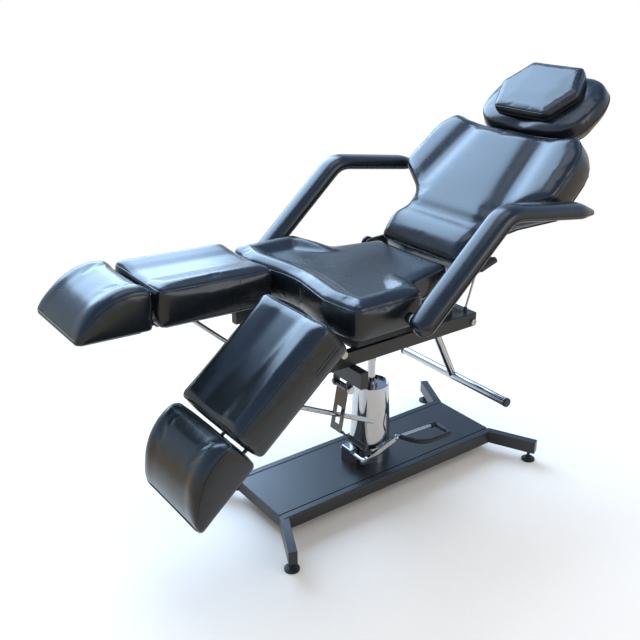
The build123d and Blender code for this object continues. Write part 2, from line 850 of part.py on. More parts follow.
def lumbar_roll():
    """Swelling of the lower back roll, running across the back rest above its front face."""
    low = (0, back_edge_radius, -back_groove_depth)
    high = (0, back_crease_v + back_groove_width / 2, -back_groove_depth)
    arc = ThreePointArc(low, (0, back_crease_v / 2, lumbar_rise), high)
    section = make_face(Wire([arc, Line(high, low)]))
    reach = back_low_x - back_edge_radius / 2
    roll = Pos(-reach, 0, 0) * extrude(section, amount=reach * 2, dir=(1, 0, 0))
    ends = [edge for edge in roll.edges() if edge.geom_type == GeomType.CIRCLE]
    return fillet(ends, back_groove_depth)


def back_board():
    """Plywood board behind the back cushion."""
    face = make_face(Polyline(*back_outline(), close=True))
    face = offset(face, -board_inset, kind=Kind.INTERSECTION)
    low = -back_thickness - back_board_thickness
    board = Pos(0, 0, low) * extrude(face, amount=back_board_thickness)
    return back_plane() * (board - back_strap())


def back_frame():
    """Tube frame behind the board, its cross strap and pivot arms, and the head rest sockets."""
    high = -back_thickness - back_board_thickness
    low = high - back_tube
    side_x = (back_frame_x - back_tube / 2, back_frame_x + back_tube / 2)
    side = block(side_x, (back_frame_start, back_frame_end), (low, high))
    frame = side + mirror(side, about=Plane.YZ)
    for v in (back_frame_start, back_frame_end - back_tube, socket_start):
        frame += block((-back_frame_x, back_frame_x), (v, v + back_tube), (low, high))
    frame += back_strap()
    socket_z = post_level()
    socket = rod((post_x, socket_start, socket_z), (post_x, socket_end, socket_z), socket_radius)
    x_range = (post_x - socket_radius, post_x + socket_radius)
    seat = block(x_range, (socket_start, back_frame_end), (socket_z, low))
    for shape in both_sides(socket + seat):
        frame += shape
    bore = rod((post_x, 0, socket_z), (post_x, post_end, socket_z), post_radius + running_gap)
    for shape in both_sides(bore):
        frame -= shape
    for arm in both_sides(back_arm()):
        frame += arm
    return back_plane() * frame


def back_strap():
    """Flat cross strap let into the back board, joining the two pivot arms."""
    reach = back_arm_x + back_arm_thickness
    z_range = (-back_thickness - back_board_thickness, -back_thickness)
    return block((-reach, reach), (back_strap_start, back_strap_start + back_strap_width), z_range)


def back_arm():
    """Plate arm from the pivot to the cross strap, in the plane of the back rest."""
    pivot = back_plane().to_local_coords(Vector(0, back_pivot_y, back_pivot_z))
    low = -back_thickness - back_board_thickness
    x_range = (back_arm_x, back_arm_x + back_arm_thickness)
    hub = back_arm_hub_radius / math.sqrt(2)
    end = back_strap_start + back_strap_width
    outline = [(pivot.Y - hub, pivot.Z - hub), (pivot.Y + hub, pivot.Z + hub), (end, -back_thickness)]
    outline += [(end, low), (back_strap_start, low)]
    arm = side_plate(outline, x_range) + cross_rod(x_range, pivot.Y, pivot.Z, back_arm_hub_radius)
    return arm - cross_rod((0, arm_x), pivot.Y, pivot.Z, pivot_bolt_radius + running_gap)


# Head rest


def post_level():
    """Distance of the head rest posts behind the front face of the back rest."""
    return -back_thickness - back_board_thickness - back_tube - socket_radius


def headrest_posts():
    """Two posts that slide in the back frame and the blocks that carry the head board."""
    level = post_level()
    post = back_plane() * rod((post_x, post_start, level), (post_x, post_end, level), post_radius)
    board_low = oval_top - oval_thickness - head_board_thickness
    x_range = (post_x - head_block_half, post_x + head_block_half)
    y_range = (head_block_start, head_block_start + head_block_length)
    carrier = head_plane() * block(x_range, y_range, (board_low - head_block_drop, board_low))
    return Compound(children=both_sides(post + carrier))


def headrest_board():
    """Oval board under the head cushion."""
    high = oval_top - oval_thickness
    face = Pos(0, oval_centre, high - head_board_thickness) * oval_face(head_board_inset)
    return head_plane() * extrude(face, amount=head_board_thickness)


def oval_face(inset):
    """Outline of the head cushion, a rectangle with very large corners, drawn in by an inset."""
    size = (2 * (oval_half_width - inset), 2 * (oval_half_length - inset))
    return RectangleRounded(*size, oval_corner_radius - inset)


def headrest_cushion():
    """Broad head cushion with rounded rims, drawn-in sides and a domed top under the pillow."""
    levels = ((oval_top - oval_thickness, oval_draw_low), (oval_top - oval_thickness / 2, oval_draw_middle))
    levels += ((oval_top, oval_draw_high),)
    faces = [Pos(0, oval_centre, level) * oval_face(inset) for level, inset in levels]
    side = loft(faces)
    dome_inset = oval_half_length / 2
    dome = loft(
        [
            Pos(0, oval_centre, oval_top) * oval_face(oval_draw_high),
            Pos(0, oval_centre, oval_top + oval_crown * dome_share) * oval_face(dome_inset / 2),
            Pos(0, oval_centre, oval_top + oval_crown) * oval_face(dome_inset),
        ]
    )
    return head_plane() * (side + dome)


def head_pillow():
    """Small six sided pillow lying on the head cushion."""
    half = [(pillow_front_x, 0), (pillow_mid_x, pillow_mid_s), (pillow_rear_x, pillow_rear_s)]
    points = [*half, *[(-x, y) for x, y in reversed(half)]]
    shape = prism(points, (-pillow_thickness, 0), pillow_corner_radius)
    shape = fillet(top_edges(shape, 0, edge_reach), pillow_edge_radius)
    return head_plane() * shape


# Legs, built level on the sitter's left


def calf_frame():
    """Tube frame of a leg rest with hinge sleeves and the ears for the strut."""
    high = calf_bottom - leg_board_thickness
    low = high - leg_tube
    middle = (low + high) / 2
    shape = None
    for x in (leg_x - leg_tube_x, leg_x + leg_tube_x):
        y_range = (calf_front_y + leg_board_inset, leg_hinge_y)
        tube = block((x - leg_tube / 2, x + leg_tube / 2), y_range, (low, high))
        sleeve = (x - sleeve_length / 2, x + sleeve_length / 2)
        tube += cross_rod(sleeve, leg_hinge_y, leg_hinge_z, sleeve_radius)
        tube -= rod((x, 0, middle), (x, calf_front_y, middle), foot_rod_radius + running_gap) & block(
            (0, arm_x), (calf_front_y, foot_rod_start + leg_tube), (low, high)
        )
        shape = tube if shape is None else shape + tube
    ties = (leg_x - leg_tube_x + leg_tube / 2, leg_x + leg_tube_x - leg_tube / 2)
    shape += block(ties, (calf_tie_y, calf_tie_y + leg_tube), (low, high))
    shape -= cross_rod((0, arm_x), leg_hinge_y, leg_hinge_z, hinge_rod_radius + running_gap)
    for side in (-1, 1):
        inner = leg_x + side * (strut_radius + seat_gap)
        x_range = sorted((inner, inner + side * strut_ear_thickness))
        ear = cross_rod(x_range, strut_pin_y, strut_pin_z, strut_ear_radius)
        ear += block(x_range, (calf_tie_y + leg_tube, strut_pin_y), (low, strut_pin_z + strut_ear_radius))
        ear &= block(x_range, (calf_tie_y + leg_tube, 0), (low - leg_tube, high))
        shape += ear
    shape -= cross_rod((0, arm_x), strut_pin_y, strut_pin_z, strut_pin_radius + bolt_gap)
    return Compound(children=[shape, strut_pin()])


def strut_pin():
    """Pin that joins the strut to the ears of a leg frame."""
    half = strut_radius + strut_ear_thickness * 2
    pin = cross_rod((leg_x - half, leg_x + half), strut_pin_y, strut_pin_z, strut_pin_radius)
    for side in (-1, 1):
        face = leg_x + side * (strut_radius + seat_gap + strut_ear_thickness)
        x_range = sorted((face, face + side * strut_ear_thickness / 2))
        pin += cross_rod(x_range, strut_pin_y, strut_pin_z, strut_pin_head_radius)
    return pin


def calf_board():
    """Board under a calf cushion."""
    half = calf_width / 2 - leg_board_inset
    y_range = (calf_front_y + leg_board_inset, leg_board_rear_y)
    return block((leg_x - half, leg_x + half), y_range, (calf_bottom - leg_board_thickness, calf_bottom))


def roll_section(half_width, bottom, thickness):
    """Cross section of a leg cushion: bulging sides, two side rolls and a shallow valley."""
    seam = bottom + thickness
    top = seam + calf_roll_rise
    inner = half_width - calf_roll_width
    crest = half_width - calf_roll_crest
    inner_level = top - calf_roll_fall
    side = half_width + calf_side_bulge
    middle = (bottom + seam) / 2
    edges = [Line((-half_width, 0, bottom), (half_width, 0, bottom))]
    edges.append(ThreePointArc((half_width, 0, bottom), (side, 0, middle), (half_width, 0, seam)))
    edges.append(ThreePointArc((half_width, 0, seam), (crest, 0, top), (inner, 0, inner_level)))
    valley = (0, 0, seam + calf_valley_rise)
    edges.append(ThreePointArc((inner, 0, inner_level), valley, (-inner, 0, inner_level)))
    edges.append(ThreePointArc((-inner, 0, inner_level), (-crest, 0, top), (-half_width, 0, seam)))
    edges.append(ThreePointArc((-half_width, 0, seam), (-side, 0, middle), (-half_width, 0, bottom)))
    return make_face(Wire(edges))


def calf_cushion():
    """Calf cushion with rolled long sides."""
    half = calf_width / 2 - calf_side_bulge
    section = Pos(leg_x, calf_rear_y, 0) * roll_section(half, calf_bottom, calf_thickness)
    shape = extrude(section, amount=calf_rear_y - calf_front_y, dir=(0, -1, 0))
    top = calf_bottom + calf_thickness + calf_roll_rise
    ring = [(calf_rear_y, calf_bottom), (calf_rear_y, top)]
    ring += [(calf_front_y, top), (calf_front_y, calf_bottom)]
    face = make_face(Polyline(*ring, close=True))
    face = fillet(face.vertices().filter_by(lambda v: v.Y > calf_bottom + edge_reach), calf_end_radius)
    upright = Plane(origin=(0, 0, 0), x_dir=(0, 1, 0), z_dir=(1, 0, 0))
    return shape & (upright * extrude(face, amount=leg_x * 2))


def foot_frame():
    """Two sliding rods with the two bars that carry the foot board."""
    high = calf_bottom - leg_board_thickness
    middle = high - leg_tube / 2
    shape = None
    for x in (leg_x - leg_tube_x, leg_x + leg_tube_x):
        piece = rod((x, foot_rod_start, middle), (x, foot_rod_end, middle), foot_rod_radius)
        shape = piece if shape is None else shape + piece
    reach = (leg_x - leg_tube_x - leg_tube / 2, leg_x + leg_tube_x + leg_tube / 2)
    for y in (foot_tie_front, foot_tie_rear):
        shape += block(reach, (y, y + leg_tube), (middle - foot_rod_radius, high))
    return shape


def foot_board():
    """Board under a foot cushion."""
    half = calf_width / 2 - leg_board_inset
    rear = foot_cushion_rear_y - leg_board_inset
    y_range = (rear - foot_board_length, rear)
    return block((leg_x - half, leg_x + half), y_range, (calf_bottom - leg_board_thickness, calf_bottom))


def foot_profile(x, rise):
    """Side outline of a foot cushion at a distance across it, its top lifted by a rise."""
    top = calf_bottom + calf_thickness
    length = foot_cushion_length

    def at(share_along, share_down, lift=0):
        return (x, foot_cushion_rear_y - share_along * length, top - share_down * calf_thickness + lift)

    nose_along, nose_down = foot_nose_shares
    rear_top, nose_top = at(0, foot_rear_drop_share, rise / 2), at(nose_along, nose_down, rise / 4)
    curve = Spline(rear_top, *[at(*shares, rise) for shares in foot_top_shares], nose_top)
    rear_low, nose_low = at(0, 1), at(nose_along, 1)
    edges = [curve, Line(nose_top, nose_low), Line(nose_low, rear_low), Line(rear_low, rear_top)]
    return make_face(Wire(edges))


def foot_cushion():
    """Foot cushion that falls away to a thin front edge, higher across its middle than at its sides."""
    half = calf_width / 2
    crest = half - calf_roll_crest
    stations = ((-half, 0), (-crest, foot_crown), (0, foot_crown_middle), (crest, foot_crown), (half, 0))
    shape = Pos(leg_x, 0, 0) * loft([foot_profile(x, rise) for x, rise in stations])
    rear, front = foot_cushion_rear_y, foot_cushion_rear_y - foot_cushion_length
    ring = [(leg_x - half, rear), (leg_x + half, rear), (leg_x + half, front), (leg_x - half, front)]
    return shape & prism(ring, (calf_bottom, calf_bottom + calf_thickness * 2), calf_end_radius)


# Struts and release levers


def strut_line():
    """Unit direction of the strut from its pin towards the guide."""
    line = Vector(0, guide_y - strut_pin_y, guide_z - strut_pin_z)
    return line.normalized()


def strut_rod():
    """Chromed strut with an eye at its top and a row of small holes."""
    start = Vector(leg_x, strut_pin_y, strut_pin_z)
    line = strut_line()
    end = start + line * strut_length
    shape = rod(tuple(start), tuple(end), strut_radius)
    x_range = (leg_x - strut_radius, leg_x + strut_radius)
    shape += cross_rod(x_range, strut_pin_y, strut_pin_z, strut_eye_radius)
    shape &= block(x_range, (strut_pin_y - strut_eye_radius, 0), (0, strut_pin_z + strut_eye_radius))
    shape -= cross_rod((0, arm_x), strut_pin_y, strut_pin_z, strut_pin_radius + running_gap)
    for step in range(strut_hole_count):
        point = start + line * (strut_hole_first + step * strut_hole_step)
        shape -= cross_rod((0, arm_x), point.Y, point.Z, strut_hole_radius)
    return shape


def lever_hangers():
    """Plates under the front crossbar, and the axle with its knobs, for both release levers."""
    pieces = []
    top = rail_bottom - front_bar_height
    for offset_x in (-lever_hanger_offset, lever_hanger_offset):
        middle_x = leg_x + offset_x
        x_range = (middle_x - lever_hanger_thickness / 2, middle_x + lever_hanger_thickness / 2)
        y_range = (lever_axle_y - lever_hanger_radius, lever_axle_y + lever_hanger_radius)
        hanger = block(x_range, y_range, (lever_axle_z, top))
        hanger += cross_rod(x_range, lever_axle_y, lever_axle_z, lever_hanger_radius)
        hanger -= cross_rod((0, arm_x), lever_axle_y, lever_axle_z, lever_axle_radius + bolt_gap)
        pieces += both_sides(hanger)
    return pieces


def lever_axles():
    """Axle bolts of the release levers with a knob at each end."""
    reach = lever_hanger_offset + lever_hanger_thickness / 2
    axle = cross_rod((leg_x - reach, leg_x + reach), lever_axle_y, lever_axle_z, lever_axle_radius)
    for side in (-1, 1):
        face = leg_x + side * reach
        x_range = sorted((face, face + side * lever_knob_length))
        knob = cross_rod(x_range, lever_axle_y, lever_axle_z, lever_knob_radius)
        axle += fillet(knob.edges(), lever_knob_length / 4)
    return Compound(children=both_sides(axle))


def lever_plane():
    """Plane of the release strap: x across, y down the strap, z towards the column."""
    lean = math.radians(strap_lean)
    down = Vector(0, -math.sin(lean), -math.cos(lean))
    normal = Vector(1, 0, 0).cross(down)
    return Plane(origin=(leg_x, lever_axle_y, lever_axle_z), x_dir=(1, 0, 0), z_dir=tuple(normal))


def release_lever():
    """Chromed strap with a sleeve on the axle, a window for the strut, a bent lip and a thin rod."""
    half_t = strap_thickness / 2
    strap = block((-strap_half_width, strap_half_width), (0, strap_length), (-half_t, half_t))
    guide = Vector(0, guide_y - lever_axle_y, guide_z - lever_axle_z).length
    window = block(
        (-window_half_width, window_half_width),
        (guide - window_height / 2, guide + window_height / 2),
        (-strap_half_width, strap_half_width),
    )
    lip = block(
        (-strap_half_width, strap_half_width),
        (strap_length - strap_thickness, strap_length),
        (-half_t, strap_lip),
    )
    shape = strap - window + lip
    sleeve_x = (-lever_sleeve_half, lever_sleeve_half)
    shape += cross_rod(sleeve_x, 0, 0, lever_sleeve_radius)
    shape -= cross_rod((-leg_x, leg_x), 0, 0, lever_axle_radius + running_gap)
    reach = lever_rod_end - leg_x
    shape += cross_rod((0, reach), strap_length - half_t, half_t + lever_rod_radius, lever_rod_radius)
    return lever_plane() * shape


def lever_grip():
    """Plastic grip on the rod of a release lever."""
    level = strap_thickness / 2 + lever_rod_radius
    down = strap_length - strap_thickness / 2
    start, end = lever_rod_end - leg_x - lever_grip_nose, lever_grip_end - leg_x
    shape = cross_rod((start, end), down, level, lever_grip_radius)
    shape = fillet(shape.edges(), lever_grip_nose)
    return lever_plane() * (shape - cross_rod((0, lever_rod_end - leg_x), down, level, lever_rod_radius))


# Arm rests


def distance_to_line(point, start, end):
    """Distance in the side view between a point and the line from start to end."""
    line = end - start
    share = ((point.X - start.X) * line.X + (point.Y - start.Y) * line.Y) / line.length**2
    share = min(max(share, 0), 1)
    nearest = start + line * share
    return math.hypot(point.X - nearest.X, point.Y - nearest.Y)


def arm_line():
    """Centre line of an arm rest before its bend is rounded."""
    points = [(arm_low_y, arm_low_z), (arm_bend_y, arm_bend_z)]
    points += [(arm_top_y, arm_top_z), (arm_tip_y, arm_tip_z)]
    return [Vector(*point) for point in points]


def shifted_line(distance):
    """The centre line of an arm rest moved square to itself, drawn together at the tip."""
    points = arm_line()
    normals = []
    for start, end in zip(points, points[1:]):
        line = (end - start).normalized()
        normals.append(Vector(-line.Y, line.X))
    result = [points[0] + normals[0] * distance]
    for before, after, point in zip(normals, normals[1:], points[1:]):
        blend = (before + after).normalized()
        result.append(point + blend * (distance / blend.dot(before)))
    result.append(points[-1] + normals[-1] * (distance * arm_tip_share))
    return result


def arm_slab(low, high, x_range, end_radius):
    """Slice of an arm rest between two distances from its centre line, with its bend rounded."""
    low_line, high_line = shifted_line(low), shifted_line(high)
    ring = low_line + list(reversed(high_line))
    face = make_face(Polyline(*[(point.X, point.Y) for point in ring], close=True))
    bends = ((low_line[1], arm_bend_radius + low), (high_line[1], arm_bend_radius + high))
    for corner, radius in (*bends, (high_line[0], end_radius)):
        face = fillet(face.vertices().sort_by_distance(corner)[0], radius)
    upright = Plane(origin=(x_range[0], 0, 0), x_dir=(0, 1, 0), z_dir=(1, 0, 0))
    return upright * extrude(face, amount=x_range[1] - x_range[0])


def arm_taper(shape, inset):
    """The slice with its rear end drawn in to a blunt point seen from above."""
    wide, narrow = arm_half_width - inset, arm_tip_half_width - inset
    ring = [(arm_x - wide, arm_low_y * 2), (arm_x + wide, arm_low_y * 2), (arm_x + wide, arm_taper_start)]
    ring += [(arm_x + narrow, arm_tip_y), (arm_x - narrow, arm_tip_y), (arm_x - wide, arm_taper_start)]
    return shape & prism(ring, (0, arm_bend_z * 2))


def armrest_board():
    """Board under an arm rest with the steel sleeve of its pivot."""
    x_range = (arm_x - arm_half_width + seat_gap, arm_x + arm_half_width - seat_gap)
    low, high = -arm_drop, arm_board_thickness - arm_drop
    shape = arm_taper(arm_slab(low, high, x_range, seat_gap), seat_gap)
    inner = arm_x - arm_half_width
    sleeve = cross_rod((inner, inner + arm_sleeve_length), arm_pivot_y, arm_pivot_z, arm_sleeve_radius)
    shape += sleeve
    bore = (inner - seat_gap, inner + arm_sleeve_length - strap_thickness)
    return shape - cross_rod(bore, arm_pivot_y, arm_pivot_z, arm_pin_radius + running_gap)


def armrest_pad():
    """Padded top of an arm rest."""
    x_range = (arm_x - arm_half_width, arm_x + arm_half_width)
    low, high = arm_board_thickness - arm_drop, arm_rise
    shape = arm_slab(low, high, x_range, arm_end_radius)
    flat = Plane(origin=(0, 0, 0), x_dir=(0, 1, 0), z_dir=(1, 0, 0))
    seam_points = shifted_line(low)
    upper = []
    for edge in shape.edges():
        if abs(abs(edge.center().X - arm_x) - arm_half_width) > seat_gap:
            continue
        spot = flat.to_local_coords(edge.center())
        gap = min(distance_to_line(spot, a, b) for a, b in zip(seam_points, seam_points[1:]))
        if gap > arm_rise / 2:
            upper.append(edge)
    shape = arm_taper(fillet(upper, arm_edge_radius), 0)
    inner = arm_x - arm_half_width
    room = (inner - seat_gap, inner + arm_sleeve_length + seat_gap)
    return shape - cross_rod(room, arm_pivot_y, arm_pivot_z, arm_sleeve_radius + seat_gap)


def armrest_brackets():
    """Flat bar under the seat board with an upright plate at each end for the arm pivots."""
    y_range = (arm_bar_y - arm_bracket_width / 2, arm_bar_y + arm_bracket_width / 2)
    low = board_bottom - arm_bar_height
    shape = block((-arm_bracket_x, arm_bracket_x), y_range, (low, board_bottom))
    x_range = (arm_bracket_x - arm_bracket_thickness, arm_bracket_x)
    lean = arm_bracket_width / 2 / math.sqrt(2)
    outline = [(y_range[0], low), (y_range[1], low), (y_range[1], board_bottom)]
    outline += [(arm_pivot_y + lean, arm_pivot_z + lean), (arm_pivot_y - lean, arm_pivot_z - lean)]
    upright = side_plate(outline, x_range)
    upright += cross_rod(x_range, arm_pivot_y, arm_pivot_z, arm_bracket_width / 2)
    upright -= cross_rod(x_range, arm_pivot_y, arm_pivot_z, arm_pin_radius + bolt_gap)
    for plate in both_sides(upright):
        shape += plate
    return shape


def armrest_pins():
    """Chromed pivot pins with a broad collar, fixed in the arm brackets."""
    inner = arm_x - arm_half_width
    end = inner + arm_sleeve_length - strap_thickness - seat_gap
    pin = cross_rod((arm_bracket_x - arm_bracket_thickness, end), arm_pivot_y, arm_pivot_z, arm_pin_radius)
    pin += cross_rod((arm_bracket_x, inner - seat_gap), arm_pivot_y, arm_pivot_z, arm_boss_radius)
    return Compound(children=both_sides(pin))


# Recline release


def link_rod_shape(radius):
    """Straight run of the release link from the rear crossbar up to the lever."""
    high = Vector(link_x, link_high_y, link_high_z)
    low = Vector(link_x, link_low_y, rail_top)
    line = (high - low).normalized()
    return rod(tuple(low - line * link_depth), tuple(high), radius)


def release_link():
    """Thin link between the release lever and the rear crossbar."""
    return link_rod_shape(link_radius)


def release_boot():
    """Rubber boot around the lower end of the release link."""
    high = Vector(link_x, link_high_y, link_high_z)
    low = Vector(link_x, link_low_y, rail_top)
    line = (high - low).normalized()
    shape = rod(tuple(low - line * boot_height), tuple(low + line * boot_height), boot_radius)
    shape -= block((0, arm_x), (0, arm_x), (0, rail_top))
    return shape - link_rod_shape(link_radius + running_gap)


def recline_handle():
    """Release lever with its plastic grip, turning on the rear end of the left bracket."""
    slope = math.radians(release_slope)
    along = Vector(0, math.cos(slope), math.sin(slope))
    pivot = Vector(rail_inner_x + seat_gap, release_pivot_y, release_pivot_z)
    x_range = (pivot.X, pivot.X + release_arm_thickness)
    start = pivot + along * release_grip_start
    half = release_arm_height / 2
    outline = []
    for point, sign in ((pivot, -1), (start, -1), (start, 1), (pivot, 1)):
        outline.append((point.Y - sign * half * math.sin(slope), point.Z + sign * half * math.cos(slope)))
    arm = side_plate(outline, x_range) + cross_rod(x_range, pivot.Y, pivot.Z, release_grip_radius)
    end = start + along * release_grip_length
    centre_x = pivot.X + release_arm_thickness / 2
    grip = rod((centre_x, start.Y, start.Z), (centre_x, end.Y, end.Z), release_grip_radius)
    arm += fillet(grip.edges(), release_grip_radius / 3)
    return arm - cross_rod((0, arm_x), pivot.Y, pivot.Z, release_pin_radius + running_gap)


def release_pin():
    """Pin of the release lever, fixed in the left bracket."""
    inner = rail_inner_x - bracket_thickness
    outer = rail_inner_x + seat_gap * 2 + release_arm_thickness
    pin = cross_rod((inner, outer), release_pivot_y, release_pivot_z, release_pin_radius)
    head_x_range = (outer, outer + strap_thickness)
    head = cross_rod(head_x_range, release_pivot_y, release_pivot_z, release_pin_radius * 2)
    return pin + head


# Assembly


def leg_parts(side_name, side, tilt):
    """All pieces of one leg rest, tilted about the leg hinge."""
    turn = Pos(0, leg_hinge_y, leg_hinge_z) * Rot(tilt, 0, 0) * Pos(0, -leg_hinge_y, -leg_hinge_z)
    builders = {
        "calf_frame": calf_frame,
        "calf_board": calf_board,
        "calf_cushion": calf_cushion,
        "foot_frame": foot_frame,
        "foot_board": foot_board,
        "foot_cushion": foot_cushion,
    }
    return {f"{name}_{side_name}": on_side(turn * build(), side) for name, build in builders.items()}


def tilted_strut(tilt):
    """The strut of a leg turned so that it still points at the window of its lever."""
    angle = math.radians(tilt)
    dy, dz = strut_pin_y - leg_hinge_y, strut_pin_z - leg_hinge_z
    pin_y = leg_hinge_y + dy * math.cos(angle) - dz * math.sin(angle)
    pin_z = leg_hinge_z + dy * math.sin(angle) + dz * math.cos(angle)
    level = math.atan2(guide_z - strut_pin_z, guide_y - strut_pin_y)
    now = math.atan2(guide_z - pin_z, guide_y - pin_y)
    turn = Rot(math.degrees(now - level), 0, 0)
    return Pos(0, pin_y, pin_z) * turn * Pos(0, -strut_pin_y, -strut_pin_z) * strut_rod()


nodes = {
    "base_frame": base_frame(),
    "base_plate": base_plate(),
    "levelling_foot_front_left": levelling_foot(1, -1),
    "levelling_foot_front_right": levelling_foot(-1, -1),
    "levelling_foot_rear_left": levelling_foot(1, 1),
    "levelling_foot_rear_right": levelling_foot(-1, 1),
    "pump_body": pump_body(),
    "pump_cover": pump_cover(),
    "pump_bolts": pump_bolts(),
    "piston_rod": piston_rod(),
    "pedal_arm": pedal_arm(),
    "pedal_rod": pedal_rod(),
    "pedal_loop": pedal_loop(),
    "seat_rails": seat_rails(),
    "front_crossbar": front_crossbar(),
    "frame_ties": frame_ties(),
    "swivel_head": swivel_head(),
    "push_bar": push_bar(),
    "push_bar_caps": push_bar_caps(),
    "rail_bolts": rail_bolts(),
    "leg_hinge_rod": leg_hinge_rod(),
    "back_brackets": back_brackets(),
    "back_pivot_bolts": back_pivot_bolts(),
    "seat_board": seat_board(),
    "seat_cushion": seat_cushion(),
    "lever_axles": lever_axles(),
    "armrest_brackets": armrest_brackets(),
    "armrest_pins": armrest_pins(),
    "back_frame": back_frame(),
    "back_board": back_board(),
    "back_cushion": back_cushion(),
    "headrest_posts": headrest_posts(),
    "headrest_board": headrest_board(),
    "headrest_cushion": headrest_cushion(),
    "head_pillow": head_pillow(),
    "release_link": release_link(),
    "release_boot": release_boot(),
    "recline_handle": recline_handle(),
}
for side_name, side in SIDES:
    tilt = left_leg_tilt if side > 0 else right_leg_tilt
    nodes.update(leg_parts(side_name, side, tilt))
    nodes[f"strut_rod_{side_name}"] = on_side(tilted_strut(tilt), side)
    nodes[f"release_lever_{side_name}"] = on_side(release_lever(), side)
    nodes[f"lever_grip_{side_name}"] = on_side(lever_grip(), side)
    nodes[f"armrest_board_{side_name}"] = on_side(armrest_board(), side)
    nodes[f"armrest_pad_{side_name}"] = on_side(armrest_pad(), side)

for name, shape in nodes.items():
    export_step(Pos(0, column_y, 0) * shape, f"parts/{name}.step")
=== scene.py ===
"""Dresses the tattoo chair: sewn cushions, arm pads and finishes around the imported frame."""

from __future__ import annotations

import json
import logging
import math
from collections.abc import Callable, Sequence
from dataclasses import dataclass
from enum import Enum
from typing import Any

import bmesh
import bpy
import numpy as np
from mathutils import Matrix, Vector
from mathutils.bvhtree import BVHTree
from mathutils.geometry import delaunay_2d_cdt
from mathutils.kdtree import KDTree


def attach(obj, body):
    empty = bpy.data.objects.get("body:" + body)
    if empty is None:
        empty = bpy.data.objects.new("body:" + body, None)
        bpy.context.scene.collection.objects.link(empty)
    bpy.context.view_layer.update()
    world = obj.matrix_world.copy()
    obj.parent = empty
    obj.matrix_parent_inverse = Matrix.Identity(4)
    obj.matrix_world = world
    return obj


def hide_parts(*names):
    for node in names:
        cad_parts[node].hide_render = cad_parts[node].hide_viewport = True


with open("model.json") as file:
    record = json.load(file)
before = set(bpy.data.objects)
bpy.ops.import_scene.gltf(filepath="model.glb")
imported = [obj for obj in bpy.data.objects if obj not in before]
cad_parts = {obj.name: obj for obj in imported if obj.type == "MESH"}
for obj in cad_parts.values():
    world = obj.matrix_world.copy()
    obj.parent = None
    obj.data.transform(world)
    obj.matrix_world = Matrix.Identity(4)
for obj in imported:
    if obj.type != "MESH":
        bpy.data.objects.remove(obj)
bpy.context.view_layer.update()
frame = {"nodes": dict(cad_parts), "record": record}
LOG = logging.getLogger("tattoo_chair")
Array = np.ndarray
Colour = tuple[float, float, float, float]
Faces = list[tuple[int, ...]]
Point2 = tuple[float, float]

# The lift column stands this far along +Y from the middle of the chair.
COLUMN_Y = 0.047


class Side(Enum):
    """The sitter's left (+X) or right (-X)."""

    LEFT = 1
    RIGHT = -1

    @property
    def word(self) -> str:
        """The side's name as it ends a node's name."""
        return self.name.lower()


class Ends(Enum):
    """How a row of rings of points ends."""

    OPEN = "open"
    CAPPED = "capped"
    JOINED = "joined"


# Shader maths


class Signal:
    """A node socket that takes part in arithmetic: Vector Math for vectors, Math for numbers."""

    def __init__(self, shader: Shader, socket: bpy.types.NodeSocket) -> None:
        """Wraps a socket of a shader's tree."""
        self.shader = shader
        self.socket = socket

    def _join(self, operation: str, *operands: Signal | float) -> Signal:
        """Adds one node of the socket's kind.

        Args:
            operation: The node's operation.
            operands: Signals or numbers in the order of its inputs.

        Returns:
            The node's first output.
        """
        kind = "ShaderNodeMath"
        if self.socket.type == "VECTOR":
            kind = "ShaderNodeVectorMath"
            operands = tuple(v if isinstance(v, Signal) else (v, v, v) for v in operands)
        return self.shader.add(kind, {"operation": operation}, dict(enumerate(operands)))[0]

    def __add__(self, other: Signal | float) -> Signal:
        """Sum."""
        return self._join("ADD", self, other)

    def __sub__(self, other: Signal | float) -> Signal:
        """Difference."""
        return self._join("SUBTRACT", self, other)

    def __rsub__(self, other: float) -> Signal:
        """A number less this signal."""
        return self._join("SUBTRACT", other, self)

    def __mul__(self, other: Signal | float) -> Signal:
        """Product."""
        return self._join("MULTIPLY", self, other)

    def __truediv__(self, other: Signal | float) -> Signal:
        """Quotient."""
        return self._join("DIVIDE", self, other)

    def __rtruediv__(self, other: float) -> Signal:
        """A number divided by this signal."""
        return self._join("DIVIDE", other, self)

    def __pow__(self, other: Signal | float) -> Signal:
        """Power."""
        return self._join("POWER", self, other)

    def __rpow__(self, other: float) -> Signal:
        """A number to the power of this signal."""
        return self._join("POWER", other, self)

    __radd__ = __add__
    __rmul__ = __mul__

    def sine(self) -> Signal:
        """Sine, of each component in a vector."""
        return self._join("SINE", self)

    def length(self) -> Signal:
        """Length of a vector."""
        return self.shader.add("ShaderNodeVectorMath", {"operation": "LENGTH"}, {0: self})["Value"]

    def part(self, axis: str) -> Signal:
        """One component of a vector: X, Y or Z."""
        return self.shader.add("ShaderNodeSeparateXYZ", None, {0: self})[axis]


class Added:
    """A node just added to a shader, giving its outputs by number or name."""

    def __init__(self, shader: Shader, node: bpy.types.Node) -> None:
        """Keeps the node and the shader that it belongs to."""
        self.shader = shader
        self.node = node

    def __getitem__(self, key: int | str) -> Signal:
        """One output as a signal."""
        return Signal(self.shader, self.node.outputs[key])


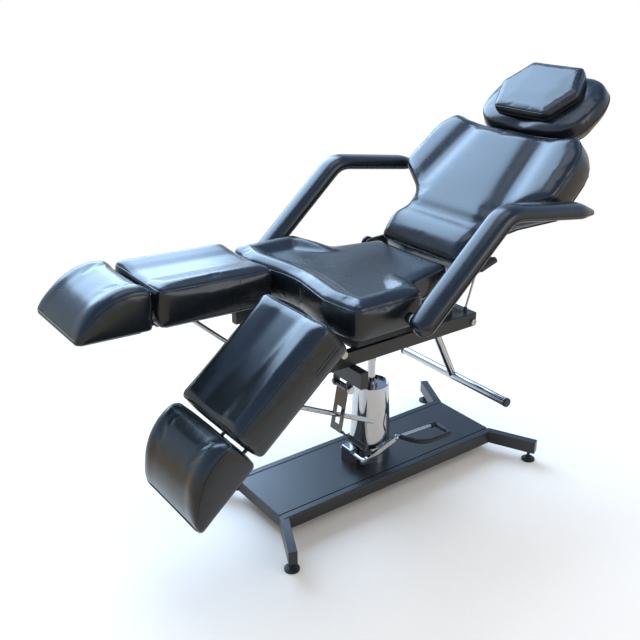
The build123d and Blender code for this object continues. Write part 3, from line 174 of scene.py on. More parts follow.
class Shader:
    """A material's node tree, built node by node."""

    def __init__(self, name: str) -> None:
        """Starts an empty material.

        Args:
            name: Name of the material.
        """
        self.material = bpy.data.materials.new(name)
        self.material.use_nodes = True
        self.tree = self.material.node_tree
        self.tree.nodes.clear()

    @classmethod
    def on_tree(cls, tree: bpy.types.NodeTree) -> Shader:
        """Works on a tree that exists already, emptied first."""
        shader = cls.__new__(cls)
        shader.tree = tree
        tree.nodes.clear()
        return shader

    def add(
        self, kind: str, settings: dict[str, Any] | None = None, values: dict[Any, Any] | None = None
    ) -> Added:
        """Adds one node.

        Args:
            kind: Type name of the node.
            settings: Node properties, set first; "stops" gives a colour ramp's positions and colours.
            values: Numbers, tuples or signals for its inputs.

        Returns:
            The node, whose outputs are read by number or name.
        """
        node = self.tree.nodes.new(kind)
        for key, value in (settings or {}).items():
            if key == "stops":
                self._set_stops(node, value)
            else:
                setattr(node, key, value)
        for key, value in (values or {}).items():
            if isinstance(value, Signal):
                self.tree.links.new(value.socket, node.inputs[key])
            else:
                node.inputs[key].default_value = value
        return Added(self, node)

    @staticmethod
    def _set_stops(node: bpy.types.Node, stops: Sequence[tuple[float, Colour]]) -> None:
        """Fills a colour ramp."""
        ramp = node.color_ramp
        while len(ramp.elements) < len(stops):
            ramp.elements.new(1.0)
        for element, (position, colour) in zip(ramp.elements, stops):
            element.position = position
            element.color = colour

    def place(self) -> Signal:
        """Place in the chair's own frame, in metres."""
        return self.add("ShaderNodeTexCoord")["Object"]

    def noise(self, scale: float, detail: float = 2.0, roughness: float = 0.5) -> Signal:
        """Soft random values around one half."""
        values = {"Vector": self.place(), "Scale": scale, "Detail": detail, "Roughness": roughness}
        return self.add("ShaderNodeTexNoise", {"noise_dimensions": "3D"}, values)["Fac"]

    def cells(self, scale: float, feature: str = "F1") -> Signal:
        """Distance pattern of small cells."""
        values = {"Vector": self.place(), "Scale": scale}
        return self.add("ShaderNodeTexVoronoi", {"feature": feature}, values)["Distance"]

    def ramp(self, factor: Signal, stops: Sequence[tuple[float, Colour]]) -> Signal:
        """Colour picked from a row of stops."""
        return self.add("ShaderNodeValToRGB", {"stops": stops}, {"Fac": factor})["Color"]

    def blend(self, value: Signal, first: tuple[float, Colour], last: tuple[float, Colour]) -> Signal:
        """Colour between two others.

        Args:
            value: Picks the colour.
            first: Value and colour where the blend begins.
            last: Value and colour where it ends.

        Returns:
            The blended colour.
        """
        share = self.add("ShaderNodeMapRange", None, {0: value, 1: first[0], 2: last[0]})[0]
        return self.add("ShaderNodeMix", {"data_type": "RGBA"}, {0: share, 6: first[1], 7: last[1]})[2]

    def bump(self, height: Signal, strength: float, distance: float) -> Signal:
        """Surface normal raised by a height."""
        values = {"Height": height, "Strength": strength, "Distance": distance}
        return self.add("ShaderNodeBump", None, values)["Normal"]

    def surface(self, values: dict[str, Any]) -> bpy.types.Material:
        """Ends the tree with one Principled shader.

        Args:
            values: Inputs of the Principled shader.

        Returns:
            The finished material.
        """
        principled = self.add("ShaderNodeBsdfPrincipled", None, values)
        return self.close(principled["BSDF"])

    def close(self, shader: Signal) -> bpy.types.Material:
        """Links a shader to the output and returns the material."""
        self.add("ShaderNodeOutputMaterial", None, {"Surface": shader})
        return self.material


# Finishes


def grey(level: float, blue: float = 0.0) -> Colour:
    """A grey with a little blue."""
    return (level, level * (1 + blue / 2), level * (1 + blue), 1.0)


@dataclass(frozen=True)
class Vinyl:
    """Black upholstery vinyl with a fine pebble grain and a soft sheen."""

    name: str = "black_vinyl"
    dark: float = 0.0045
    pale: float = 0.009
    blue: float = 0.8
    smooth: float = 0.19
    rough: float = 0.27
    wear_scale: float = 7.0
    mottle_scale: float = 46.0
    grain_scale: float = 620.0
    crease_scale: float = 150.0
    grain_strength: float = 0.11
    grain_depth: float = 0.0004
    coat: float = 0.1
    coat_roughness: float = 0.24

    def material(self) -> bpy.types.Material:
        """Builds the material: pebbles, faint creases, handling marks."""
        shader = Shader(self.name)
        wear = shader.noise(self.wear_scale, 4.0, 0.6)
        mottle = shader.noise(self.mottle_scale, 3.0, 0.55)
        dark, pale = grey(self.dark, self.blue), grey(self.pale, self.blue)
        colour = shader.blend(wear * 0.6 + mottle * 0.4, (0.32, dark), (0.72, pale))
        pebbles = shader.cells(self.grain_scale, "SMOOTH_F1")
        creases = shader.cells(self.crease_scale, "DISTANCE_TO_EDGE")
        shallow = shader.noise(self.crease_scale * 0.4, 3.0, 0.6)
        height = pebbles * 0.6 + creases * 0.12 + shallow * 0.25
        return shader.surface(
            {
                "Base Color": colour,
                "Roughness": wear * (self.rough - self.smooth) + mottle * 0.06 + self.smooth,
                "Specular IOR Level": 0.5,
                "Coat Weight": mottle * self.coat + self.coat,
                "Coat Roughness": self.coat_roughness,
                "Normal": shader.bump(height, self.grain_strength, self.grain_depth),
            }
        )


@dataclass(frozen=True)
class PaintedSteel:
    """Black powder coat with a fine orange peel and slightly paler worn areas."""

    name: str = "black_steel"
    dark: float = 0.010
    pale: float = 0.019
    blue: float = 0.04
    smooth: float = 0.24
    rough: float = 0.36
    cloud_scale: float = 5.0
    speck_scale: float = 260.0
    peel_scale: float = 420.0
    peel_strength: float = 0.16
    peel_depth: float = 0.0004

    def material(self) -> bpy.types.Material:
        """Builds the material: orange peel, dust in the finish, cloudy gloss."""
        shader = Shader(self.name)
        cloud = shader.noise(self.cloud_scale, 4.0, 0.6)
        speck = shader.noise(self.speck_scale, 2.0, 0.7)
        dark, pale = grey(self.dark, self.blue), grey(self.pale, self.blue)
        colour = shader.blend(cloud * 0.7 + speck * 0.3, (0.35, dark), (0.7, pale))
        peel = shader.noise(self.peel_scale, 2.0, 0.5)
        return shader.surface(
            {
                "Base Color": colour,
                "Roughness": cloud * (self.rough - self.smooth) + speck * 0.05 + self.smooth,
                "Specular IOR Level": 0.5,
                "Normal": shader.bump(peel, self.peel_strength, self.peel_depth),
            }
        )


@dataclass(frozen=True)
class Chrome:
    """Bright chrome plate with faint polishing marks and smudges."""

    name: str = "chrome"
    level: float = 0.56
    gloss: float = 0.03
    smudge: float = 0.09
    smudge_scale: float = 16.0
    haze_scale: float = 90.0
    ripple_scale: float = 30.0
    ripple_strength: float = 0.05
    ripple_depth: float = 0.0006

    def material(self) -> bpy.types.Material:
        """Builds the material: smudged gloss and a barely uneven plate."""
        shader = Shader(self.name)
        smudges = shader.noise(self.smudge_scale, 5.0, 0.65) ** 2.0
        haze = shader.noise(self.haze_scale, 2.0, 0.5)
        worn, bright = grey(self.level * 0.9, -0.08), grey(self.level, -0.07)
        colour = shader.blend(smudges, (0.1, worn), (0.6, bright))
        ripple = shader.noise(self.ripple_scale, 1.0, 0.4)
        return shader.surface(
            {
                "Base Color": colour,
                "Metallic": 1.0,
                "Roughness": smudges * self.smudge + haze * 0.02 + self.gloss,
                "Normal": shader.bump(ripple, self.ripple_strength, self.ripple_depth),
            }
        )


@dataclass(frozen=True)
class Moulded:
    """Dark moulded rubber or plastic with a fine matt texture."""

    name: str
    dark: float
    pale: float
    rough: float
    texture_scale: float
    texture_strength: float
    texture_depth: float = 0.0003
    rubbed_scale: float = 24.0

    def material(self) -> bpy.types.Material:
        """Builds the material: fine texture, rubbed paler patches."""
        shader = Shader(self.name)
        rubbed = shader.noise(self.rubbed_scale, 4.0, 0.6)
        fine = shader.noise(self.texture_scale, 2.0, 0.6)
        dark, pale = grey(self.dark, 0.05), grey(self.pale, 0.05)
        colour = shader.blend(rubbed, (0.35, dark), (0.7, pale))
        return shader.surface(
            {
                "Base Color": colour,
                "Roughness": rubbed * 0.12 + fine * 0.08 + (self.rough - 0.1),
                "Specular IOR Level": 0.4,
                "Normal": shader.bump(fine, self.texture_strength, self.texture_depth),
            }
        )


@dataclass(frozen=True)
class CoveredBoard:
    """Plywood covered with thin black backing cloth, its weave just visible."""

    name: str = "black_board"
    dark: float = 0.008
    pale: float = 0.016
    lint_scale: float = 140.0
    weave_scale: float = 900.0
    weave_strength: float = 0.25
    weave_depth: float = 0.0003

    def material(self) -> bpy.types.Material:
        """Builds the material: two crossed thread waves with lint."""
        shader = Shader(self.name)
        threads = (shader.place() * self.weave_scale).sine()
        lint = shader.noise(self.lint_scale, 4.0, 0.7)
        colour = shader.blend(lint, (0.3, grey(self.dark)), (0.75, grey(self.pale)))
        height = threads.part("X") * threads.part("Y") * 0.3 + lint
        return shader.surface(
            {
                "Base Color": colour,
                "Roughness": lint * 0.2 + 0.6,
                "Normal": shader.bump(height, self.weave_strength, self.weave_depth),
            }
        )


class Finishes:
    """Every finish of the chair by the name of its material slot."""

    def __init__(self) -> None:
        """Builds all the materials once."""
        makers = (
            Vinyl(),
            PaintedSteel(),
            Chrome(name="dark_steel", level=0.34, gloss=0.12, smudge=0.2),
            Chrome(),
            Moulded("black_rubber", 0.010, 0.020, 0.55, 320.0, 0.25),
            Moulded("black_plastic", 0.010, 0.018, 0.38, 520.0, 0.18),
            CoveredBoard(),
        )
        self.by_slot = {maker.name: maker.material() for maker in makers}
        self.piping = Vinyl(name="piping_vinyl", smooth=0.24, rough=0.34, grain_strength=0.08).material()
        self.lever_strap = Chrome(name="smoked_chrome", level=0.13, gloss=0.07, smudge=0.12).material()
        self.collar = Moulded("pale_collar", 0.62, 0.72, 0.40, 300.0, 0.1).material()

    def dress_frame(self) -> None:
        """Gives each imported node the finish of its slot."""
        for part in frame["record"]["subparts"]:
            node = frame["nodes"][part["node"]]
            material = self.by_slot[part["material_slot"]]
            if part["node"].startswith("release_lever"):
                material = self.lever_strap
            elif part["node"] == "armrest_pins":
                material = self.collar
            if not node.material_slots:
                node.data.materials.append(material)
            for slot in node.material_slots:
                slot.material = material


# Flat outlines


def ease(value: Array | float, low: float, high: float) -> Array:
    """Smooth step from 0 at low to 1 at high."""
    share = np.clip((np.asarray(value) - low) / (high - low), 0.0, 1.0)
    return share * share * (3.0 - 2.0 * share)


def bell(value: Array | float, middle: float, width: float) -> Array:
    """Soft hump of height 1 around a middle."""
    return np.exp(-(((np.asarray(value) - middle) / width) ** 2))


def shoulder(distance: Array, reach: float) -> Array:
    """Quarter round from 0 at the edge to 1 at a reach inwards."""
    share = np.clip(distance / reach, 0.0, 1.0)
    return np.sqrt(1.0 - (1.0 - share) ** 2)


def bend(start: Array, corner: Array, end: Array, count: int) -> list[Array]:
    """Points of a curve from start to end that is drawn towards a corner."""
    return [
        (1 - share) ** 2 * start + 2 * share * (1 - share) * corner + share**2 * end
        for share in np.linspace(0, 1, count)
    ]


def run_along(line: Array) -> Array:
    """Distance of each point of a line from its start, measured along it."""
    return np.concatenate([[0.0], np.cumsum(np.linalg.norm(np.diff(line, axis=0), axis=1))])


def picked(line: Array, run: Array, stops: Array) -> Array:
    """Flat points of a line at the given distances along it."""
    return np.stack([np.interp(stops, run, line[:, axis]) for axis in (0, 1)], axis=1)


def unit(way: Array) -> Array:
    """A direction made one long."""
    return way / np.linalg.norm(way)


def evened(values: Array, turns: int = 4) -> Array:
    """Values along a line, each drawn towards its neighbours, the ends kept."""
    for _ in range(turns):
        values[1:-1] = (values[:-2] + 2 * values[1:-1] + values[2:]) / 4
    return values


class Outline:
    """A closed, counter-clockwise outline with rounded corners, cut into even steps."""

    def __init__(self, corners: Sequence[Point2], radii: Sequence[float], step: float = 0.006) -> None:
        """Rounds and resamples the corners.

        Args:
            corners: Corner points in order.
            radii: Rounding radius of each corner.
            step: Distance between the resampled points.
        """
        corner = np.array(corners, float)
        radius = list(radii)
        following = np.roll(corner, -1, axis=0)
        if np.sum(corner[:, 0] * following[:, 1] - following[:, 0] * corner[:, 1]) < 0:
            corner, radius = corner[::-1], radius[::-1]
        dense = self._rounded(corner, radius)
        self.points = self._even(dense, step)
        tangent = np.roll(self.points, -1, axis=0) - np.roll(self.points, 1, axis=0)
        tangent /= np.linalg.norm(tangent, axis=1)[:, None]
        self.normals = np.stack([tangent[:, 1], -tangent[:, 0]], axis=1)

    @staticmethod
    def _rounded(corner: Array, radius: Sequence[float]) -> Array:
        """Replaces each corner by a short curve."""
        points = []
        for index, spot in enumerate(corner):
            before = corner[index - 1] - spot
            after = corner[(index + 1) % len(corner)] - spot
            room = 0.48 * min(np.linalg.norm(before), np.linalg.norm(after))
            before, after = unit(before), unit(after)
            half = math.acos(float(np.clip(np.dot(before, after), -1, 1))) / 2
            reach = min(room, radius[index] / max(math.tan(half), 0.05))
            points += bend(spot + before * reach, spot, spot + after * reach, 9)
        return np.array(points)

    @staticmethod
    def _even(dense: Array, step: float) -> Array:
        """Points at even distances along a closed line."""
        ring = np.vstack([dense, dense[:1]])
        run = run_along(ring)
        count = max(int(run[-1] / step), 12)
        return picked(ring, run, np.linspace(0, run[-1], count, endpoint=False))

    def distance(self, spots: Array) -> Array:
        """Distance from each spot to the outline."""
        start = self.points
        line = np.roll(start, -1, axis=0) - start
        length = np.sum(line**2, axis=1)
        result = np.empty(len(spots))
        for low in range(0, len(spots), 2000):
            part = spots[low : low + 2000]
            offset = part[:, None, :] - start[None]
            share = np.clip(np.sum(offset * line[None], axis=2) / length[None], 0, 1)
            gap = offset - share[:, :, None] * line[None]
            result[low : low + 2000] = np.sqrt(np.min(np.sum(gap**2, axis=2), axis=1))
        return result

    def holds(self, spots: Array) -> Array:
        """Whether each spot lies inside."""
        start, end = self.points, np.roll(self.points, -1, axis=0)
        result = np.zeros(len(spots), bool)
        for a, b in zip(start, end):
            crosses = (a[1] > spots[:, 1]) != (b[1] > spots[:, 1])
            where = a[0] + (spots[:, 1] - a[1]) * (b[0] - a[0]) / (b[1] - a[1] + 1e-12)
            result ^= crosses & (spots[:, 0] < where)
        return result

    def nearest(self, spot: Point2) -> int:
        """Index of the outline point nearest to a spot."""
        return int(np.argmin(np.sum((self.points - np.array(spot)) ** 2, axis=1)))


def mirrored(half: Sequence[Point2], radii: Sequence[float], step: float = 0.006) -> Outline:
    """Closed outline from its half with positive x.

    Args:
        half: Corners of the half, from the middle round to the middle.
        radii: Rounding radius of each of them.
        step: Distance between the outline's points.

    Returns:
        The whole outline.
    """
    back = [(-x, y, radius) for (x, y), radius in zip(reversed(half), reversed(radii)) if x > 0]
    return Outline([*half, *[(x, y) for x, y, _ in back]], [*radii, *[radius for _, _, radius in back]], step)


# Meshes


class MeshKit:
    """Small mesh jobs shared by the soft pieces."""

    # Vinyl on a thin backing: hard to stretch, easy to fold.
    COVER_CLOTH = {
        "quality": 4,
        "mass": 0.4,
        "tension_stiffness": 18,
        "compression_stiffness": 18,
        "shear_stiffness": 8,
        "bending_stiffness": 1.5,
        "air_damping": 4,
    }

    @staticmethod
    def make(name: str, verts: Sequence[Sequence[float]], faces: Sequence[Sequence[int]]) -> bpy.types.Object:
        """Creates an object with consistent outward normals.

        Args:
            name: Name of the object.
            verts: Points in metres.
            faces: Point numbers of each face.

        Returns:
            The new object, linked to the scene.
        """
        mesh = bpy.data.meshes.new(name)
        mesh.from_pydata([tuple(v) for v in verts], [], [tuple(f) for f in faces])
        body = bmesh.new()
        body.from_mesh(mesh)
        bmesh.ops.remove_doubles(body, verts=body.verts, dist=1e-6)
        bmesh.ops.recalc_face_normals(body, faces=body.faces)
        body.to_mesh(mesh)
        body.free()
        obj = bpy.data.objects.new(name, mesh)
        bpy.context.scene.collection.objects.link(obj)
        return obj

    @staticmethod
    def applied(obj: bpy.types.Object) -> None:
        """Replaces an object's mesh by its mesh with all modifiers, and drops them."""
        graph = bpy.context.evaluated_depsgraph_get()
        mesh = bpy.data.meshes.new_from_object(obj.evaluated_get(graph), depsgraph=graph)
        obj.modifiers.clear()
        old, obj.data = obj.data, mesh
        bpy.data.meshes.remove(old)

    @staticmethod
    def coordinates(mesh: bpy.types.Mesh) -> Array:
        """All points of a mesh."""
        flat = np.empty(len(mesh.vertices) * 3)
        mesh.vertices.foreach_get("co", flat)
        return flat.reshape(-1, 3)

    @staticmethod
    def move_to(mesh: bpy.types.Mesh, points: Array) -> None:
        """Sets all points of a mesh."""
        mesh.vertices.foreach_set("co", points.reshape(-1))
        mesh.update()

    @staticmethod
    def put(obj: bpy.types.Object, place: Matrix) -> None:
        """Moves a mesh into its place and keeps its faces outwards where it is mirrored."""
        obj.data.transform(place)
        if place.determinant() < 0:
            obj.data.flip_normals()
        obj.data.update()

    @classmethod
    def remesh(cls, obj: bpy.types.Object, voxel: float) -> None:
        """Even quads of about one voxel."""
        modifier = obj.modifiers.new("even", "REMESH")
        modifier.mode = "VOXEL"
        modifier.voxel_size = voxel
        cls.applied(obj)

    @classmethod
    def relax(cls, obj: bpy.types.Object, turns: int) -> None:
        """Smooths a mesh without shrinking it much."""
        modifier = obj.modifiers.new("relax", "CORRECTIVE_SMOOTH")
        modifier.iterations = turns
        modifier.use_only_smooth = True
        cls.applied(obj)

    @classmethod
    def puff(cls, obj: bpy.types.Object, pinned: Array, pressure: float, cap: float, last: int = 20) -> None:
        """Lets the cover swell as cloth round its foam, then fixes the result.

        Args:
            obj: The cushion.
            pinned: Points that stay on the board.
            pressure: Push of the foam on the cover.
            cap: Farthest that a point may move.
            last: Last frame of the simulation.
        """
        before = cls.coordinates(obj.data).copy()
        group = obj.vertex_groups.new(name="board")
        group.add([int(i) for i in np.flatnonzero(pinned)], 1.0, "REPLACE")
        modifier = obj.modifiers.new("cover", "CLOTH")
        cloth = modifier.settings
        for setting, value in cls.COVER_CLOTH.items():
            setattr(cloth, setting, value)
        cloth.use_pressure = True
        cloth.uniform_pressure_force = pressure
        cloth.vertex_group_mass = group.name
        cloth.effector_weights.gravity = 0.0
        modifier.point_cache.frame_start = 1
        modifier.point_cache.frame_end = last
        scene = bpy.context.scene
        for number in range(1, last + 1):
            scene.frame_set(number)
        graph = bpy.context.evaluated_depsgraph_get()
        swollen = obj.evaluated_get(graph).to_mesh()
        after = cls.coordinates(swollen).copy()
        obj.evaluated_get(graph).to_mesh_clear()
        obj.modifiers.clear()
        obj.vertex_groups.clear()
        scene.frame_set(1)
        move = after - before
        length = np.linalg.norm(move, axis=1)
        scale = cap * np.tanh(length / cap) / np.maximum(length, 1e-9)
        cls.move_to(obj.data, before + move * scale[:, None])

    @staticmethod
    def skin(rings: int, sides: int, ends: Ends, first: int = 0) -> Faces:
        """Faces over a row of rings of points.

        Args:
            rings: Number of rings.
            sides: Points in each ring.
            ends: What closes the row.
            first: Number of the first point.

        Returns:
            The faces.
        """
        faces: Faces = []
        for ring in range(rings if ends is Ends.JOINED else rings - 1):
            here, there = first + ring * sides, first + (ring + 1) % rings * sides
            for turn in range(sides):
                after = (turn + 1) % sides
                faces.append((here + turn, here + after, there + after, there + turn))
        if ends is Ends.CAPPED:
            faces += [tuple(range(start, start + sides)) for start in (first, first + (rings - 1) * sides)]
        return faces

    @classmethod
    def tube(cls, points: Array, radius: float, closed: bool, sides: int) -> tuple[list[Vector], Faces]:
        """A round tube along a line.

        Args:
            points: Points of its middle.
            radius: Radius of the tube.
            closed: Whether the line comes back to its start.
            sides: Faces around it.

        Returns:
            Points and faces.
        """
        line = [Vector(p) for p in points]
        count = len(line)
        verts: list[Vector] = []
        across = Vector((0.0, 0.0, 1.0))
        for index, spot in enumerate(line):
            ahead = line[(index + 1) % count] if closed or index + 1 < count else spot
            behind = line[index - 1] if closed or index else spot
            way = (ahead - behind).normalized()
            across = across - way * across.dot(way)
            if across.length < 1e-4:
                across = way.orthogonal()
            across.normalize()
            up = way.cross(across)
            for turn in range(sides):
                angle = 2 * math.pi * turn / sides
                verts.append(spot + (across * math.cos(angle) + up * math.sin(angle)) * radius)
        return verts, cls.skin(count, sides, Ends.JOINED if closed else Ends.CAPPED)


@dataclass(frozen=True)
class SewnLine:
    """A seam and the cord that lies on it."""

    points: Sequence[Sequence[float]]
    closed: bool
    radius: float


@dataclass
class SewnPiece:
    """A soft piece with its sewn lines, ready to be finished and hung on a body."""

    obj: bpy.types.Object
    node: str
    body: str
    fill: float
    lines: Sequence[SewnLine]

    def sew(self, place: Matrix, press: float = 0.0012, width: float = 0.006) -> None:
        """Draws the cover in along its sewn lines and lays a cord on each.

        Args:
            place: Turns the lines' own frame into the chair's frame.
            press: How deep the cover is drawn in.
            width: How far to each side of the line.
        """
        mesh = self.obj.data
        tree = BVHTree.FromPolygons([v.co for v in mesh.vertices], [tuple(p.vertices) for p in mesh.polygons])
        laid = []
        for line in self.lines:
            spots = []
            for point in line.points:
                spot, normal, _, _ = tree.find_nearest(place @ Vector(point))
                spots.append(spot + normal * (line.radius * 0.25))
            laid.append(SewnLine(self._steadied(spots, line.closed), line.closed, line.radius))
        points = [point for line in laid for point in line.points]
        marks = KDTree(len(points))
        for number, point in enumerate(points):
            marks.insert(point, number)
        marks.balance()
        for vertex in mesh.vertices:
            _, _, gap = marks.find(vertex.co)
            if gap < width:
                vertex.co -= vertex.normal * (press * (1 - gap / width) ** 2)
        self._lay_cords(laid)

    @staticmethod
    def _steadied(spots: list[Vector], closed: bool) -> list[Vector]:
        """Evens out a line that was laid on a coarse surface."""
        for _ in range(2):
            count = len(spots)
            fresh = []
            for index, spot in enumerate(spots):
                if not closed and index in (0, count - 1):
                    fresh.append(spot)
                else:
                    fresh.append((spots[index - 1] + spot * 2 + spots[(index + 1) % count]) / 4)
            spots = fresh
        return spots

    def _lay_cords(self, laid: Sequence[SewnLine]) -> None:
        """Adds the cords' faces to the mesh under the second finish."""
        body = bmesh.new()
        body.from_mesh(self.obj.data)
        for face in body.faces:
            face.smooth = True
        for line in laid:
            verts, faces = MeshKit.tube(line.points, line.radius, line.closed, 6)
            made = [body.verts.new(v) for v in verts]
            for corner_numbers in faces:
                face = body.faces.new([made[i] for i in corner_numbers])
                face.material_index = 1
                face.smooth = True
        body.to_mesh(self.obj.data)
        body.free()

    def hang(self, finishes: Finishes) -> None:
        """Gives the piece its finishes and hangs it on its body in place of its solid."""
        self.obj.data.materials.clear()
        self.obj.data.materials.append(finishes.by_slot["black_vinyl"])
        self.obj.data.materials.append(finishes.piping)
        for polygon in self.obj.data.polygons:
            polygon.use_smooth = True
        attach(self.obj, self.body)
        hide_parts(self.node)
        LOG.info("piece %s on body %s", self.obj.name, self.body)


SurfaceHeight = Callable[[Array, Array, Array], Array]
EdgeHeight = Callable[[Array, Array], Array]


@dataclass
class Cushion:
    """A foam block on a board: a flat outline, walls up to a seam and a shaped top."""

    name: str
    node: str
    body: str
    outline: Outline
    bottom: float
    seam: EdgeHeight
    top: SurfaceHeight
    place: Matrix
    bulge: float = 0.003
    wall: Sequence[Point2] = ((0.0, 0.0), (1.0, 0.0))
    voxel: float = 0.005
    pressure: float = 3.0
    cap: float = 0.003
    fill: float = 0.8
    cord_radius: float = 0.0017
    grid: float = 0.009
    insets: Sequence[float] = (0.0025, 0.006, 0.011, 0.017)
    grid_inset: float = 0.022
    tuck: float = 0.004
    tuck_share: float = 0.07
    wall_rings: int = 12
    upright_seams: Sequence[Point2] = ()
    level_seams: Sequence[tuple[float, Point2, Point2]] = ()
    edge_cords: Sequence[float] = (1.0,)

    def _wall_ring(self, share: float) -> Array:
        """Points of the wall at a share of its height."""
        points, normals = self.outline.points, self.outline.normals
        shares, outs = zip(*self.wall)
        out = float(np.interp(share, shares, outs)) + self.bulge * math.sin(math.pi * share)
        out -= self.tuck * max(0.0, 1 - share / self.tuck_share) ** 2
        level = self.bottom + share * (self.seam(points[:, 0], points[:, 1]) - self.bottom)
        flat = points + normals * out
        return np.column_stack([flat, level])

    def _top_points(self) -> Array:
        """Flat points inside the outline, closer together near the edge."""
        points, normals = self.outline.points, self.outline.normals
        rings = []
        for inset in self.insets:
            ring = points - normals * inset
            rings.append(ring[self.outline.distance(ring) > inset * 0.93])
        low, high = points.min(axis=0), points.max(axis=0)
        xs, ys = (np.arange(low[i], high[i], self.grid) for i in (0, 1))
        grid = np.stack(np.meshgrid(xs, ys), axis=-1).reshape(-1, 2)
        grid[:, 0] += (np.round((grid[:, 1] - low[1]) / self.grid) % 2) * self.grid / 2
        grid = grid[self.outline.holds(grid)]
        grid = grid[self.outline.distance(grid) > self.grid_inset]
        return np.vstack([*rings, grid])

    def _mesh(self) -> bpy.types.Object:
        """Closed mesh of walls, bottom and top, in the cushion's own frame."""
        count = len(self.outline.points)
        rings = [self._wall_ring(share) for share in np.linspace(0, 1, self.wall_rings)]
        verts = [tuple(p) for ring in rings for p in ring]
        faces = MeshKit.skin(self.wall_rings, count, Ends.OPEN)
        rim = rings[-1][:, :2]
        inner = self._top_points()
        flat = [Vector(p) for p in np.vstack([rim, inner])]
        edges = [(i, (i + 1) % count) for i in range(count)]
        out, _, triangles, _, _, _ = delaunay_2d_cdt(flat, edges, [], 1, 1e-7)
        spots = np.array([tuple(v) for v in out])
        depth = self.outline.distance(spots)
        depth[:count] = 0.0
        heights = self.top(spots[:, 0], spots[:, 1], depth)
        base = len(verts)
        verts += [(x, y, z) for (x, y), z in zip(spots, heights)]
        faces += [tuple(base + i for i in triangle) for triangle in triangles]
        low_rim = [Vector(p) for p in rings[0][:, :2]]
        out, _, triangles, _, _, _ = delaunay_2d_cdt(low_rim, edges, [], 1, 1e-7)
        base = len(verts)
        verts += [(v.x, v.y, self.bottom) for v in out]
        faces += [tuple(base + i for i in triangle) for triangle in triangles]
        return MeshKit.make(self.name, verts, faces)

    def _lines(self) -> list[SewnLine]:
        """The sewn lines in the cushion's own frame."""
        lines = [SewnLine(self._wall_ring(share), True, self.cord_radius) for share in self.edge_cords]
        rings = [self._wall_ring(share) for share in np.linspace(0.02, 0.98, 14)]
        for spot in self.upright_seams:
            index = self.outline.nearest(spot)
            lines.append(SewnLine([ring[index] for ring in rings], False, self.cord_radius / 2))
        for share, start, end in self.level_seams:
            first, last = self.outline.nearest(start), self.outline.nearest(end)
            if last < first:
                last += len(self.outline.points)
            ring = self._wall_ring(share)
            points = [ring[i % len(ring)] for i in range(first, last + 1)]
            lines.append(SewnLine(points, False, self.cord_radius / 2))
        return lines

    def build(self, finishes: Finishes) -> bpy.types.Object:
        """Makes the cushion, lets its cover settle, sews and hangs it.

        Args:
            finishes: The chair's finishes.

        Returns:
            The finished piece.
        """
        obj = self._mesh()
        MeshKit.remesh(obj, self.voxel)
        MeshKit.relax(obj, 2)
        pinned = MeshKit.coordinates(obj.data)[:, 2] < self.bottom + 0.006
        MeshKit.puff(obj, pinned, self.pressure, self.cap)
        MeshKit.relax(obj, 1)
        MeshKit.put(obj, self.place)
        piece = SewnPiece(obj, self.node, self.body, self.fill, self._lines())
        piece.sew(self.place)
        piece.hang(finishes)
        return obj


# Places


def level_place() -> Matrix:
    """The column's frame: level, origin on the floor under the lift column."""
    return Matrix.Translation((0.0, COLUMN_Y, 0.0))


def slope_place(origin: Sequence[float], slope: float) -> Matrix:
    """A plane sloping up towards the rear: x across, y up the slope, z out of it.

    Args:
        origin: Point of the plane in the column's frame.
        slope: Angle to the floor in degrees.

    Returns:
        The plane's place in the chair's frame.
    """
    return level_place() @ Matrix.Translation(origin) @ Matrix.Rotation(math.radians(slope), 4, "X")


def leg_place(side: Side, tilt: float) -> Matrix:
    """Frame of a leg rest turned down about the hinge rod, mirrored for the right side.

    Args:
        side: Which leg rest.
        tilt: Angle down from level in degrees.

    Returns:
        Turns the level left leg rest into its place.
    """
    hinge = Matrix.Translation((0.0, -0.341, 0.626))
    turn = hinge @ Matrix.Rotation(math.radians(tilt), 4, "X") @ hinge.inverted()
    mirror = Matrix.Diagonal((side.value, 1.0, 1.0, 1.0))
    return level_place() @ mirror @ turn


# Cushions


